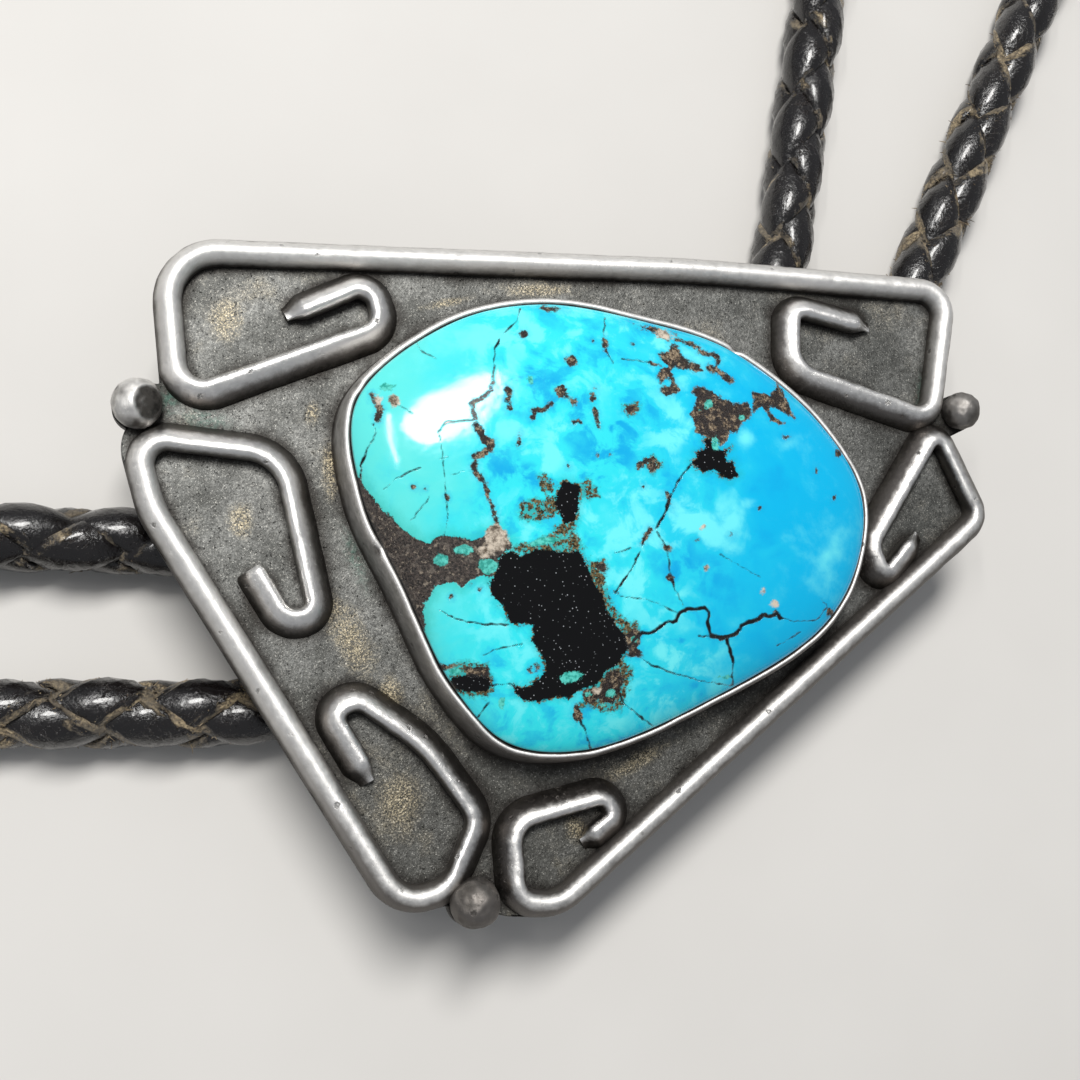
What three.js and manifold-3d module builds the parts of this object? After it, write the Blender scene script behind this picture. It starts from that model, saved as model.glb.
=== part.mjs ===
// Bolo tie: a soldered silver slide with a turquoise cabochon on a braided leather cord.
// Millimetres. +X to the wearer's left along the slide, +Y up the slide, +Z out of its face.
// The origin is under the middle of the slide, on the surface that the tie lies on.
import * as THREE from "three";
import { mergeVertices } from "three/addons/utils/BufferGeometryUtils.js";
import Module from "manifold-3d";

const wasm = await Module();
wasm.setup();

// Driving dimensions of the slide
const SLIDE_LENGTH = 70;
const SLIDE_HEIGHT = 53;
const PLATE_THICKNESS = 1.2;
const WIRE_WIDTH = 2.1;
const WIRE_HEIGHT = 1.65;
const BALL_DIAMETER = 3.8;
const BALL_SEAT = 0.5; // share of a ball's radius that its centre stands above the plate
const SOLDER_DEPTH = 0.2; // how far soldered parts run into the plate

// Driving dimensions of the stone and of the bezel that holds it
const STONE_LENGTH = 41.6;
const STONE_WIDTH = 34.5;
const STONE_CENTRE = [0.013, 0.058]; // shares of the slide's length and height
const STONE_GAP = 0.2;
const DOME_RISE = 3.6; // from the bezel's lip to the top of the dome
const BEZEL_HEIGHT = 3.8;
const BEZEL_WALL = 0.45;
const BEZEL_LEAN = 1.0; // how much wider the bezel stands at its foot than at its lip

// Driving dimensions of the cord, its tips and the clasp behind the slide
const CORD_DIAMETER = 5.6;
const CORD_STEPS = 80;
const CORD_SIDES = 10;
const FLOOR_CLEARANCE = 0.15;
const CHANNEL_CLEARANCE = 0.35;
const CHANNEL_SPACING = 11.2;
const CLASP_WALL = 0.85;
const CLASP_LENGTH = 17;
const CLASP_CENTRE = [-1.05, 5.9];
const CLASP_TURN = THREE.MathUtils.degToRad(27);
const CLASP_GAP = 0.3;
const TIP_LENGTH = 32;
const TIP_WALL = 0.35;
const TIP_GAP = 0.3;
const TIP_SIDES = 16;
const ARC_STEP = THREE.MathUtils.degToRad(15);
const FINE_ARC_STEP = THREE.MathUtils.degToRad(3);

// What follows from them
const BORE_RADIUS = CORD_DIAMETER / 2 + CHANNEL_CLEARANCE;
const CLASP_HEIGHT = 2 * (BORE_RADIUS + CLASP_WALL);
const CHANNEL_AXIS = CLASP_HEIGHT / 2;
const PLATE_UNDERSIDE = CLASP_HEIGHT + CLASP_GAP;
const PLATE_TOP = PLATE_UNDERSIDE + PLATE_THICKNESS;
const CORD_REST = CORD_DIAMETER / 2 + FLOOR_CLEARANCE;
const TIP_RADIUS = CORD_DIAMETER / 2 + TIP_WALL;

// The three edge wires. A row is a corner of the wire's centre line: x and y are shares of
// the slide's length and height from its middle, bend is the inside corner's radius in mm.
const WIRES = {
  top: [
    { x: -0.353, y: 0.361, bend: 0 },
    { x: -0.255, y: 0.427, bend: 2.1 },
    { x: -0.237, y: 0.343, bend: 2.1 },
    { x: -0.462, y: 0.213, bend: 2.4 },
    { x: -0.482, y: 0.440, bend: 3.9 },
    { x: 0.125, y: 0.479, bend: 70 },
    { x: 0.456, y: 0.480, bend: 2.2 },
    { x: 0.426, y: 0.253, bend: 2.0 },
    { x: 0.236, y: 0.321, bend: 2.8 },
    { x: 0.238, y: 0.440, bend: 1.6 },
    { x: 0.350, y: 0.413, bend: 0 },
  ],
  left: [
    { x: -0.383, y: -0.013, bend: 0 },
    { x: -0.346, y: -0.092, bend: 2.0 },
    { x: -0.303, y: -0.076, bend: 2.0 },
    { x: -0.346, y: 0.161, bend: 3.9 },
    { x: -0.508, y: 0.177, bend: 3.0 },
    { x: -0.484, y: 0.068, bend: 7.0 },
    { x: -0.219, y: -0.472, bend: 3.0 },
    { x: -0.161, y: -0.456, bend: 3.1 },
    { x: -0.127, y: -0.355, bend: 2.7 },
    { x: -0.188, y: -0.247, bend: 12 },
    { x: -0.267, y: -0.177, bend: 2.0 },
    { x: -0.302, y: -0.207, bend: 2.0 },
    { x: -0.255, y: -0.307, bend: 0 },
  ],
  lower: [
    { x: -0.015, y: -0.398, bend: 0 },
    { x: 0.029, y: -0.356, bend: 1.6 },
    { x: 0.009, y: -0.316, bend: 1.6 },
    { x: -0.105, y: -0.355, bend: 2.5 },
    { x: -0.097, y: -0.475, bend: 2.3 },
    { x: -0.044, y: -0.479, bend: 3.5 },
    { x: 0.491, y: 0.108, bend: 1.8 },
    { x: 0.432, y: 0.266, bend: 1.4 },
    { x: 0.331, y: 0.057, bend: 2.3 },
    { x: 0.352, y: -0.013, bend: 1.3 },
    { x: 0.408, y: 0.072, bend: 0 },
  ],
};

// The plate's rim follows these corners of the wires, clockwise from the left notch.
const RIM = [
  { wire: "top", from: 3, to: 7 },
  { wire: "lower", from: 6, to: 4 },
  { wire: "left", from: 7, to: 4 },
];

// A wire's section: across is a share of its width, up a share of its height.
const WIRE_SECTION = [
  { across: -0.50, up: 0.18 },
  { across: -0.38, up: 0.62 },
  { across: -0.19, up: 0.91 },
  { across: 0.00, up: 1.00 },
  { across: 0.19, up: 0.91 },
  { across: 0.38, up: 0.62 },
  { across: 0.50, up: 0.18 },
];

// The balls in the notches. size is a share of the ball's diameter, and each ball's land
// runs in under the corner of the wire that it stands beside.
const BALLS = [
  { x: -0.502, y: 0.214, size: 0.97, wire: "top", corner: 3 },
  { x: 0.468, y: 0.280, size: 0.84, wire: "top", corner: 7 },
  { x: -0.138, y: -0.472, size: 1.0, wire: "lower", corner: 3 },
];

// The stone's outline at the bezel's lip, as shares of its own length and width, anticlockwise.
const STONE_OUTLINE = [
  [0.492, 0.109], [0.402, 0.275], [0.225, 0.426], [0.073, 0.474], [-0.151, 0.500],
  [-0.325, 0.438], [-0.490, 0.255], [-0.480, 0.058], [-0.396, -0.154], [-0.313, -0.350],
  [-0.213, -0.472], [-0.067, -0.488], [0.179, -0.374], [0.406, -0.208], [0.483, -0.054],
];
const OUTLINE_STEPS = 72;

// The dome: reach is a share of the way from its middle to its edge, rise a share of its height.
const DOME = [
  { reach: 0.94, rise: 0.24 },
  { reach: 0.84, rise: 0.50 },
  { reach: 0.68, rise: 0.74 },
  { reach: 0.46, rise: 0.90 },
  { reach: 0.22, rise: 0.98 },
];

// A tip's outline: out is a share of its mouth's radius, along a share of its length.
const TIP_PROFILE = [
  { out: 1.00, along: 0.00 },
  { out: 1.00, along: 0.06 },
  { out: 0.90, along: 0.08 },
  { out: 0.66, along: 0.86 },
  { out: 0.56, along: 0.95 },
  { out: 0.30, along: 0.99 },
];

// The cord's route over the surface, chosen by hand, from the tip of the upper end to the tip
// of the lower one. A row is a corner of the route: x, y and the bend's radius in mm.
const ROUTE = [
  { x: -58.5, y: 24.0, bend: 0 },
  { x: -58.5, y: 2.0, bend: 13.5 },
  { x: -20.4, y: 2.3, bend: 30 },
  { x: -3.6, y: 10.9, bend: 0 },
  { x: 18.4, y: 22.1, bend: 20 },
  { x: 27.2, y: 73.0, bend: 13 },
  { x: -77.0, y: 67.0, bend: 22 },
  { x: -77.0, y: -51.0, bend: 24 },
  { x: 64.0, y: -51.5, bend: 24 },
  { x: 74.9, y: 66.5, bend: 12.8 },
  { x: 66.2, y: 75.4, bend: 12.8 },
  { x: 53.8, y: 72.9, bend: 12.8 },
  { x: 25.9, y: 13.3, bend: 30 },
  { x: 1.5, y: 0.9, bend: 0 },
  { x: -21.9, y: -11.0, bend: 30 },
  { x: -67.2, y: -11.2, bend: 14 },
  { x: -67.2, y: 17.0, bend: 0 },
];
const ROUTE_STEP = 3;
const RAMP_LENGTH = 14; // over which the cord comes down from the clasp, or up to a tip

// How much of the way to the next corner an arc may take up, also where that is the line's end.
const STRETCH_SHARE = 0.49;
const END_STRETCH_SHARE = 0.98;

// Corners rounded by an arc. bend is shortened where the next corner is too near.
function rounded(corners, closed, arcStep = ARC_STEP) {
  const points = [];
  const count = corners.length;
  corners.forEach((corner, i) => {
    const here = new THREE.Vector2(corner.x, corner.y);
    if (!closed && (i === 0 || i === count - 1)) {
      points.push(here);
      return;
    }
    const before = corners[(i + count - 1) % count];
    const after = corners[(i + 1) % count];
    const back = new THREE.Vector2(before.x, before.y).sub(here);
    const on = new THREE.Vector2(after.x, after.y).sub(here);
    const share = (neighbour) => (
      !closed && neighbour % (count - 1) === 0 ? END_STRETCH_SHARE : STRETCH_SHARE);
    const room = Math.min(share(i - 1) * back.length(), share(i + 1) * on.length());
    back.normalize();
    on.normalize();
    const turn = Math.PI - Math.acos(THREE.MathUtils.clamp(back.dot(on), -1, 1));
    const reach = Math.min(corner.bend * Math.tan(turn / 2), room);
    const radius = reach / Math.tan(turn / 2);
    const steps = Math.max(1, Math.ceil(turn / arcStep));
    const middle = back.clone().add(on).normalize().multiplyScalar(radius / Math.cos(turn / 2));
    const centre = here.clone().add(middle);
    const start = here.clone().addScaledVector(back, reach).sub(centre);
    const side = Math.sign(on.cross(back));
    for (let k = 0; k <= steps; k += 1) {
      const spoke = start.clone().rotateAround(new THREE.Vector2(), side * turn * k / steps);
      points.push(centre.clone().add(spoke));
    }
  });
  return points;
}

// At each point of a flat line, the way to its left, lengthened at corners so that widths hold.
function leftward(points, closed) {
  const count = points.length;
  const way = (i) => points[(i + 1) % count].clone().sub(points[i]).normalize();
  return points.map((point, i) => {
    const into = way(!closed && i === 0 ? 0 : (i + count - 1) % count);
    const out = !closed && i === count - 1 ? into : way(i);
    const along = into.clone().add(out).normalize();
    const stretch = 1 / Math.max(along.dot(into), 0.5);
    return new THREE.Vector2(-along.y, along.x).multiplyScalar(stretch);
  });
}

function offset(points, distance, closed) {
  const ways = leftward(points, closed);
  return points.map((point, i) => point.clone().addScaledVector(ways[i], distance));
}

// A closed mesh from rings of equal count. Without closed, both ends are capped.
function skin(rings, closed) {
  const size = rings[0].length;
  const vertices = rings.flat();
  const faces = [];
  const bands = closed ? rings.length : rings.length - 1;
  for (let i = 0; i < bands; i += 1) {
    const a = i * size;
    const b = ((i + 1) % rings.length) * size;
    for (let j = 0; j < size; j += 1) {
      const k = (j + 1) % size;
      faces.push(a + j, a + k, b + k, a + j, b + k, b + j);
    }
  }
  if (!closed) {
    const cap = THREE.ShapeUtils.triangulateShape(flattened(rings[0]), []);
    const end = vertices.length - size;
    cap.forEach(([p, q, r]) => {
      faces.push(p, r, q);
      faces.push(end + p, end + q, end + r);
    });
  }
  const geometry = new THREE.BufferGeometry();
  geometry.setAttribute("position", new THREE.Float32BufferAttribute(
    vertices.flatMap((v) => [v.x, v.y, v.z]), 3));
  geometry.setIndex(faces);
  return outward(geometry);
}

// A ring seen along its own axis, for filling it with triangles.
function flattened(ring) {
  const middle = ring.reduce((sum, v) => sum.add(v), new THREE.Vector3()).divideScalar(ring.length);
  const normal = new THREE.Vector3();
  ring.forEach((v, i) => {
    const next = ring[(i + 1) % ring.length];
    normal.add(v.clone().sub(middle).cross(next.clone().sub(middle)));
  });
  normal.normalize();
  const across = ring[0].clone().sub(middle).normalize();
  const up = normal.clone().cross(across);
  return ring.map((v) => {
    const spoke = v.clone().sub(middle);
    return new THREE.Vector2(spoke.dot(across), spoke.dot(up));
  });
}

// Turns a mesh round if its faces point inwards.
function outward(geometry) {
  const { array } = geometry.getAttribute("position");
  const index = geometry.getIndex().array;
  const [a, b, c] = [new THREE.Vector3(), new THREE.Vector3(), new THREE.Vector3()];
  let volume = 0;
  for (let i = 0; i < index.length; i += 3) {
    a.fromArray(array, 3 * index[i]);
    b.fromArray(array, 3 * index[i + 1]);
    c.fromArray(array, 3 * index[i + 2]);
    volume += a.dot(b.cross(c));
  }
  if (volume < 0) {
    for (let i = 0; i < index.length; i += 3) {
      [index[i], index[i + 1]] = [index[i + 1], index[i]];
    }
  }
  return geometry;
}

// A flat line swept by a section whose points are { side, z }, side being to its left.
function swept(line, section, closed) {
  const ways = leftward(line, closed);
  const rings = line.map((point, i) => section.map(({ side, z }) => new THREE.Vector3(
    point.x + ways[i].x * side, point.y + ways[i].y * side, z)));
  return skin(rings, closed);
}

function solid(geometry) {
  const bare = geometry.clone();
  ["normal", "uv"].forEach((name) => bare.deleteAttribute(name));
  const merged = mergeVertices(bare, 1e-3);
  return new wasm.Manifold(new wasm.Mesh({
    numProp: 3,
    vertProperties: new Float32Array(merged.getAttribute("position").array),
    triVerts: new Uint32Array(merged.getIndex().array),
  }));
}

function geometryOf(body) {
  const { vertProperties, triVerts } = body.getMesh();
  const geometry = new THREE.BufferGeometry();
  geometry.setAttribute("position", new THREE.BufferAttribute(vertProperties, 3));
  geometry.setIndex(new THREE.BufferAttribute(triVerts, 1));
  return geometry;
}

function onSlide({ x, y, bend = 0 }) {
  return { x: x * SLIDE_LENGTH, y: y * SLIDE_HEIGHT, bend };
}

function rimCorners() {
  return RIM.flatMap(({ wire, from, to }) => {
    const step = Math.sign(to - from);
    const count = Math.abs(to - from) + 1;
    return Array.from({ length: count }, (_, i) => onSlide(WIRES[wire][from + i * step]));
  });
}

// The plate: the wires' outer corners, let out by half a wire so that its edge is flush.
function basePlate() {
  const rim = offset(rounded(rimCorners(), true), WIRE_WIDTH / 2, true);
  const plate = new THREE.ExtrudeGeometry(new THREE.Shape(rim), {
    depth: PLATE_THICKNESS,
    bevelEnabled: false,
  });
  return plate.translate(0, 0, PLATE_UNDERSIDE);
}

function edgeWire(corners) {
  const line = rounded(corners.map(onSlide), false);
  const crown = WIRE_SECTION.map(({ across, up }) => ({
    side: across * WIRE_WIDTH,
    z: PLATE_TOP + up * WIRE_HEIGHT,
  }));
  const foot = PLATE_TOP - SOLDER_DEPTH;
  const section = [
    { side: -WIRE_WIDTH / 2, z: foot },
    ...crown,
    { side: WIRE_WIDTH / 2, z: foot },
  ];
  return swept(line, section, false);
}

// A ball with the round-ended land of plate under it.
function ballWithLand(row) {
  const { x, y } = onSlide(row);
  const root = onSlide(WIRES[row.wire][row.corner]);
  const radius = row.size * BALL_DIAMETER / 2;
  const ball = new THREE.SphereGeometry(radius, 16, 10);
  ball.rotateX(Math.PI / 2);
  ball.translate(x, y, PLATE_TOP + BALL_SEAT * radius);
  const heading = Math.atan2(root.y - y, root.x - x);
  const outline = new THREE.Shape();
  outline.absarc(x, y, radius, heading + Math.PI / 2, heading + 3 * Math.PI / 2, false);
  outline.absarc(root.x, root.y, radius, heading - Math.PI / 2, heading + Math.PI / 2, false);
  const land = new THREE.ExtrudeGeometry(outline, {
    depth: PLATE_THICKNESS,
    bevelEnabled: false,
    curveSegments: 8,
  });
  land.translate(0, 0, PLATE_UNDERSIDE);
  return solid(ball).add(solid(land));
}

// The stone's outline at the lip, anticlockwise, so that leftward is inward.
function stoneOutline() {
  const [middleX, middleY] = [STONE_CENTRE[0] * SLIDE_LENGTH, STONE_CENTRE[1] * SLIDE_HEIGHT];
  const points = STONE_OUTLINE.map(([x, y]) => new THREE.Vector3(
    middleX + x * STONE_LENGTH, middleY + y * STONE_WIDTH, 0));
  const curve = new THREE.CatmullRomCurve3(points, true, "centripetal");
  const line = curve.getSpacedPoints(OUTLINE_STEPS).slice(0, -1);
  return line.map(({ x, y }) => new THREE.Vector2(x, y));
}

function bezel() {
  const section = [
    { side: -BEZEL_LEAN, z: PLATE_TOP - SOLDER_DEPTH },
    { side: -BEZEL_LEAN, z: PLATE_TOP + BEZEL_HEIGHT * 0.1 },
    { side: -BEZEL_WALL / 2, z: PLATE_TOP + BEZEL_HEIGHT - BEZEL_WALL / 3 },
    { side: 0, z: PLATE_TOP + BEZEL_HEIGHT },
    { side: BEZEL_WALL / 2, z: PLATE_TOP + BEZEL_HEIGHT - BEZEL_WALL / 3 },
    { side: BEZEL_WALL - BEZEL_LEAN, z: PLATE_TOP - SOLDER_DEPTH },
  ];
  return swept(stoneOutline(), section, true);
}

function silverSetting() {
  const parts = [
    basePlate(),
    edgeWire(WIRES.top),
    edgeWire(WIRES.left),
    edgeWire(WIRES.lower),
    bezel(),
  ].map(solid);
  const balls = BALLS.map(ballWithLand);
  return geometryOf([...parts, ...balls].reduce((whole, piece) => whole.add(piece)));
}

// The cabochon: a straight tapered side inside the bezel, then the dome over it.
function cabochon() {
  const outline = stoneOutline();
  const lipReach = BEZEL_WALL / 2 + STONE_GAP;
  const footReach = BEZEL_WALL + STONE_GAP - BEZEL_LEAN;
  const foot = PLATE_TOP + STONE_GAP;
  const lip = PLATE_TOP + BEZEL_HEIGHT;
  const level = (line, z) => line.map(({ x, y }) => new THREE.Vector3(x, y, z));
  const girdle = offset(outline, lipReach, true);
  const middle = new THREE.Vector2(STONE_CENTRE[0] * SLIDE_LENGTH, STONE_CENTRE[1] * SLIDE_HEIGHT);
  const rings = [level(offset(outline, footReach, true), foot), level(girdle, lip)];
  DOME.forEach(({ reach, rise }) => {
    const ring = girdle.map((point) => middle.clone().lerp(point, reach));
    rings.push(level(ring, lip + rise * DOME_RISE));
  });
  return crowned(rings, new THREE.Vector3(middle.x, middle.y, lip + DOME_RISE));
}

// Rings with a flat face under the first and a point over the last.
function crowned(rings, top) {
  const geometry = skin([...rings, rings.at(-1).map(() => top)], false);
  return outward(dropSlivers(mergeVertices(geometry, 1e-3)));
}

// Leaves out triangles that use one vertex twice.
function dropSlivers(geometry) {
  const index = geometry.getIndex().array;
  const kept = [];
  for (let i = 0; i < index.length; i += 3) {
    const [a, b, c] = [index[i], index[i + 1], index[i + 2]];
    if (a !== b && b !== c && c !== a) {
      kept.push(a, b, c);
    }
  }
  geometry.setIndex(kept);
  return geometry;
}

// The clasp: a flat-bottomed block with two round-ended sides and two bores for the cord.
function claspGeometry() {
  const half = CHANNEL_SPACING / 2;
  const shape = new THREE.Shape();
  shape.absarc(half, CHANNEL_AXIS, CLASP_HEIGHT / 2, -Math.PI / 2, Math.PI / 2, false);
  shape.absarc(-half, CHANNEL_AXIS, CLASP_HEIGHT / 2, Math.PI / 2, 3 * Math.PI / 2, false);
  [-half, half].forEach((x) => {
    shape.holes.push(new THREE.Path().absarc(x, CHANNEL_AXIS, BORE_RADIUS, 0, 2 * Math.PI, true));
  });
  const geometry = new THREE.ExtrudeGeometry(shape, {
    depth: CLASP_LENGTH,
    bevelEnabled: false,
    curveSegments: 14,
  });
  geometry.translate(0, 0, -CLASP_LENGTH / 2);
  return geometry.rotateX(Math.PI / 2);
}

// The cord lies on the surface, and rises where it goes through the clasp or into a tip.
function routeCurve() {
  const plan = new THREE.Path(rounded(ROUTE, false, FINE_ARC_STEP));
  const length = plan.getLength();
  const count = Math.round(length / ROUTE_STEP);
  const clasp = new THREE.Vector2(...CLASP_CENTRE);
  const flatTo = CLASP_LENGTH / 2 + CHANNEL_CLEARANCE;
  const { smoothstep } = THREE.MathUtils;
  const points = plan.getSpacedPoints(count).map((point, i) => {
    const toClasp = 1 - smoothstep(point.distanceTo(clasp), flatTo, flatTo + RAMP_LENGTH);
    const toTip = 1 - smoothstep(Math.min(i, count - i) * length / count, 0, RAMP_LENGTH);
    const rise = toClasp * (CHANNEL_AXIS - CORD_REST) + toTip * (TIP_RADIUS - CORD_REST);
    return new THREE.Vector3(point.x, point.y, CORD_REST + rise);
  });
  return new THREE.CatmullRomCurve3(points, false, "centripetal");
}

function cordGeometry(curve) {
  const section = new THREE.Shape(Array.from({ length: CORD_SIDES }, (_, i) => {
    const angle = 2 * Math.PI * i / CORD_SIDES;
    return new THREE.Vector2(Math.cos(angle), Math.sin(angle)).multiplyScalar(CORD_DIAMETER / 2);
  }));
  return new THREE.ExtrudeGeometry(section, { steps: CORD_STEPS, extrudePath: curve });
}

function tipGeometry() {
  const profile = TIP_PROFILE.map(({ out, along }) => new THREE.Vector2(
    out * TIP_RADIUS, along * TIP_LENGTH));
  return new THREE.LatheGeometry(
    [new THREE.Vector2(0, 0), ...profile, new THREE.Vector2(0, TIP_LENGTH)], TIP_SIDES);
}

// A tip lies on from the cord's end, a small gap away, level with the surface.
function placedTip(name, end, heading) {
  const tip = piece(name, tipGeometry(), metalFinish);
  const level = new THREE.Vector2(heading.x, heading.y).normalize();
  tip.position.set(end.x + level.x * TIP_GAP, end.y + level.y * TIP_GAP, TIP_RADIUS);
  tip.rotation.z = Math.atan2(level.y, level.x) - Math.PI / 2;
  return tip;
}

const silverFinish = new THREE.MeshStandardMaterial({
  color: 0x8f8d88,
  metalness: 0.95,
  roughness: 0.38,
});
const metalFinish = new THREE.MeshStandardMaterial({
  color: 0xa9a8a3,
  metalness: 0.95,
  roughness: 0.3,
});
const stoneFinish = new THREE.MeshStandardMaterial({
  color: 0x38b5cf,
  metalness: 0,
  roughness: 0.16,
});
const leatherFinish = new THREE.MeshStandardMaterial({
  color: 0x241b18,
  metalness: 0,
  roughness: 0.42,
});

function piece(name, geometry, finish) {
  const mesh = new THREE.Mesh(geometry, finish);
  mesh.name = name;
  return mesh;
}

function slide() {
  const group = new THREE.Group();
  const clasp = piece("back_clasp", claspGeometry(), metalFinish);
  clasp.position.set(...CLASP_CENTRE, 0);
  clasp.rotation.z = CLASP_TURN - Math.PI / 2;
  group.add(piece("silver_setting", silverSetting(), silverFinish));
  group.add(piece("turquoise_stone", cabochon(), stoneFinish));
  group.add(clasp);
  return group;
}

function cordWithTips() {
  const group = new THREE.Group();
  const curve = routeCurve();
  group.add(piece("braided_cord", cordGeometry(curve), leatherFinish));
  group.add(placedTip("cord_tip_upper", curve.getPointAt(0), curve.getTangentAt(0).negate()));
  group.add(placedTip("cord_tip_lower", curve.getPointAt(1), curve.getTangentAt(1)));
  return group;
}

const boloTie = new THREE.Group();
boloTie.add(slide(), cordWithTips());
const box = new THREE.Box3().setFromObject(boloTie.children[0]);
boloTie.position.set(-(box.min.x + box.max.x) / 2, -(box.min.y + box.max.y) / 2, 0);

export default boloTie;
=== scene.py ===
# %% [markdown]
# # A bolo tie with a turquoise slide
# A bolo tie is a braided leather cord that runs twice through a clasp behind an ornament, the
# slide. Here the slide is silver: a plate edged by three curled wires, with a ball in each notch
# and a domed turquoise stone in a bezel. The metal lies a few millimetres above the table, on
# the clasp and the two cords, and the cord goes round on the table as the neck loop.
# The sizes come from a packed model of the tie, which is loaded first and never moved. Each
# piece below is modelled around it, in metres, with its place kept in its own mesh.

import math

import bmesh
import bpy
import numpy as np
from mathutils import Matrix, Vector, noise
from mathutils.geometry import delaunay_2d_cdt


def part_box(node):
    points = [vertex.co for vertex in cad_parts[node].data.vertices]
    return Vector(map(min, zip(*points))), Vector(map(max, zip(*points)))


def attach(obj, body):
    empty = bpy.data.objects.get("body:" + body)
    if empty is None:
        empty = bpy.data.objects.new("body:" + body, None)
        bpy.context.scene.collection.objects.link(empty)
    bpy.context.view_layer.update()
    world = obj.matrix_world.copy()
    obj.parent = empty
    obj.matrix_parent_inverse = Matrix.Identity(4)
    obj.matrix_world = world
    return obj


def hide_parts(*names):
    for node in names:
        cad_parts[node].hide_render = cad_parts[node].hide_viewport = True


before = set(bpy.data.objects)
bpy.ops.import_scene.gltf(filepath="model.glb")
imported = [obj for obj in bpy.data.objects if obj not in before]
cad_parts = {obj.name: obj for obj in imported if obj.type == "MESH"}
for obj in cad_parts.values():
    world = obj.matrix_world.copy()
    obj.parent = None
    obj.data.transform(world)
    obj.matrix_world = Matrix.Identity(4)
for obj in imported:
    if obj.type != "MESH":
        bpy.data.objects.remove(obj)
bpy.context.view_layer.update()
MM = 0.001

# %% [markdown]
# ## Where the slide is
# The slide's tables below give corners as shares of its length and height, from its own middle.
# The packed model is centred on its box instead, so the way between the two is read once from
# the clasp, whose place is known in both.

# %% The slide's own middle and its levels
SLIDE_LENGTH = 70 * MM
SLIDE_HEIGHT = 53 * MM
CLASP_CENTRE = (-1.05 * MM, 5.9 * MM)
PLATE_THICKNESS = 1.2 * MM
BEZEL_HEIGHT = 3.8 * MM

clasp_low, clasp_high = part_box("back_clasp")
clasp_middle = (clasp_low + clasp_high) / 2
slide_middle = np.array([clasp_middle.x - CLASP_CENTRE[0], clasp_middle.y - CLASP_CENTRE[1]])
plate_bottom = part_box("silver_setting")[0].z
plate_top = plate_bottom + PLATE_THICKNESS
lip_level = plate_top + BEZEL_HEIGHT
dome_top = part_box("turquoise_stone")[1].z
levels = {"plate top": plate_top, "bezel lip": lip_level, "top of the dome": dome_top}
print({name: round(level / MM, 2) for name, level in levels.items()}, "mm")


def on_slide(x, y):
    """A point given as shares of the slide, in metres."""
    return slide_middle + (x * SLIDE_LENGTH, y * SLIDE_HEIGHT)


# %% [markdown]
# ## The camera
# The camera looks down at the slide from the left and a little from below, close enough for the
# near side to look larger. Its place is worked out from the point it looks at, two slopes and a
# distance, so that any of them can be changed by itself. PHOTO_FOCAL is its focal length in
# pixels of the photograph, which the charts of the stone and the plate need later.

# %% Make the camera
LOOKED_AT = Vector((-3.36 * MM, 2.72 * MM, 9.3 * MM))
LEAN_LEFT = 0.268
LEAN_LOW = 0.14
EYE_DISTANCE = 112.3 * MM
FOCAL_LENGTH = 47.67
SENSOR_WIDTH = 36
NEAREST_SEEN = 5 * MM
PHOTO_WIDTH = 1080
PHOTO_FOCAL = FOCAL_LENGTH / SENSOR_WIDTH * PHOTO_WIDTH


def aim(thing, target):
    """Turns a camera or a light to look at a point, its top towards +Y."""
    back = (thing.location - target).normalized()
    right = Vector((0, 1, 0)).cross(back).normalized()
    turn = Matrix((right, back.cross(right), back)).transposed()
    thing.rotation_euler = turn.to_euler()


def put_in_scene(name, data):
    """An object for a camera, light, curve or mesh, linked to the scene."""
    thing = bpy.data.objects.new(name, data)
    bpy.context.collection.objects.link(thing)
    return thing


camera_data = bpy.data.cameras.new("camera")
camera_data.lens = FOCAL_LENGTH
camera_data.sensor_width = SENSOR_WIDTH
camera_data.clip_start = NEAREST_SEEN
camera = put_in_scene("camera", camera_data)
camera.location = LOOKED_AT + EYE_DISTANCE * Vector((-LEAN_LEFT, -LEAN_LOW, 1)).normalized()
aim(camera, LOOKED_AT)
bpy.context.scene.camera = camera
print("camera at", [round(v / MM, 1) for v in camera.location])

# %% [markdown]
# ## Bent lines
# Wire, plate and cord all follow straight runs joined by bends. A row of such a line is a
# corner and the radius of its bend. An arc replaces each corner, shortened where the next
# corner is too near, exactly as the packed model rounds them, but in finer steps.

# %% Round the corners of a line
STRETCH_SHARE = 0.49
END_STRETCH_SHARE = 0.98


def rounded(corners, closed, arc_step=math.radians(3)):
    """Corners (x, y, bend) in metres as a flat line of points."""
    points = []
    count = len(corners)
    for i, (x, y, bend) in enumerate(corners):
        here = np.array([x, y])
        if not closed and i in (0, count - 1):
            points.append(here)
            continue
        back = np.array(corners[i - 1][:2]) - here
        on = np.array(corners[(i + 1) % count][:2]) - here
        rooms = []
        for way, neighbour in ((back, i - 1), (on, i + 1)):
            is_end = not closed and neighbour in (0, count - 1)
            rooms.append((END_STRETCH_SHARE if is_end else STRETCH_SHARE) * np.hypot(*way))
        back = back / np.hypot(*back)
        on = on / np.hypot(*on)
        turn = math.pi - math.acos(np.clip(back @ on, -1, 1))
        reach = min(bend * math.tan(turn / 2), *rooms)
        radius = reach / math.tan(turn / 2)
        inward = (back + on) / np.hypot(*(back + on))
        centre = here + inward * radius / math.cos(turn / 2)
        spoke = here + back * reach - centre
        side = np.sign(on[0] * back[1] - on[1] * back[0])
        steps = max(1, math.ceil(turn / arc_step))
        for k in range(steps + 1):
            angle = side * turn * k / steps
            c, s = math.cos(angle), math.sin(angle)
            points.append(centre + (c * spoke[0] - s * spoke[1], s * spoke[0] + c * spoke[1]))
    return np.array(points)


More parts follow.
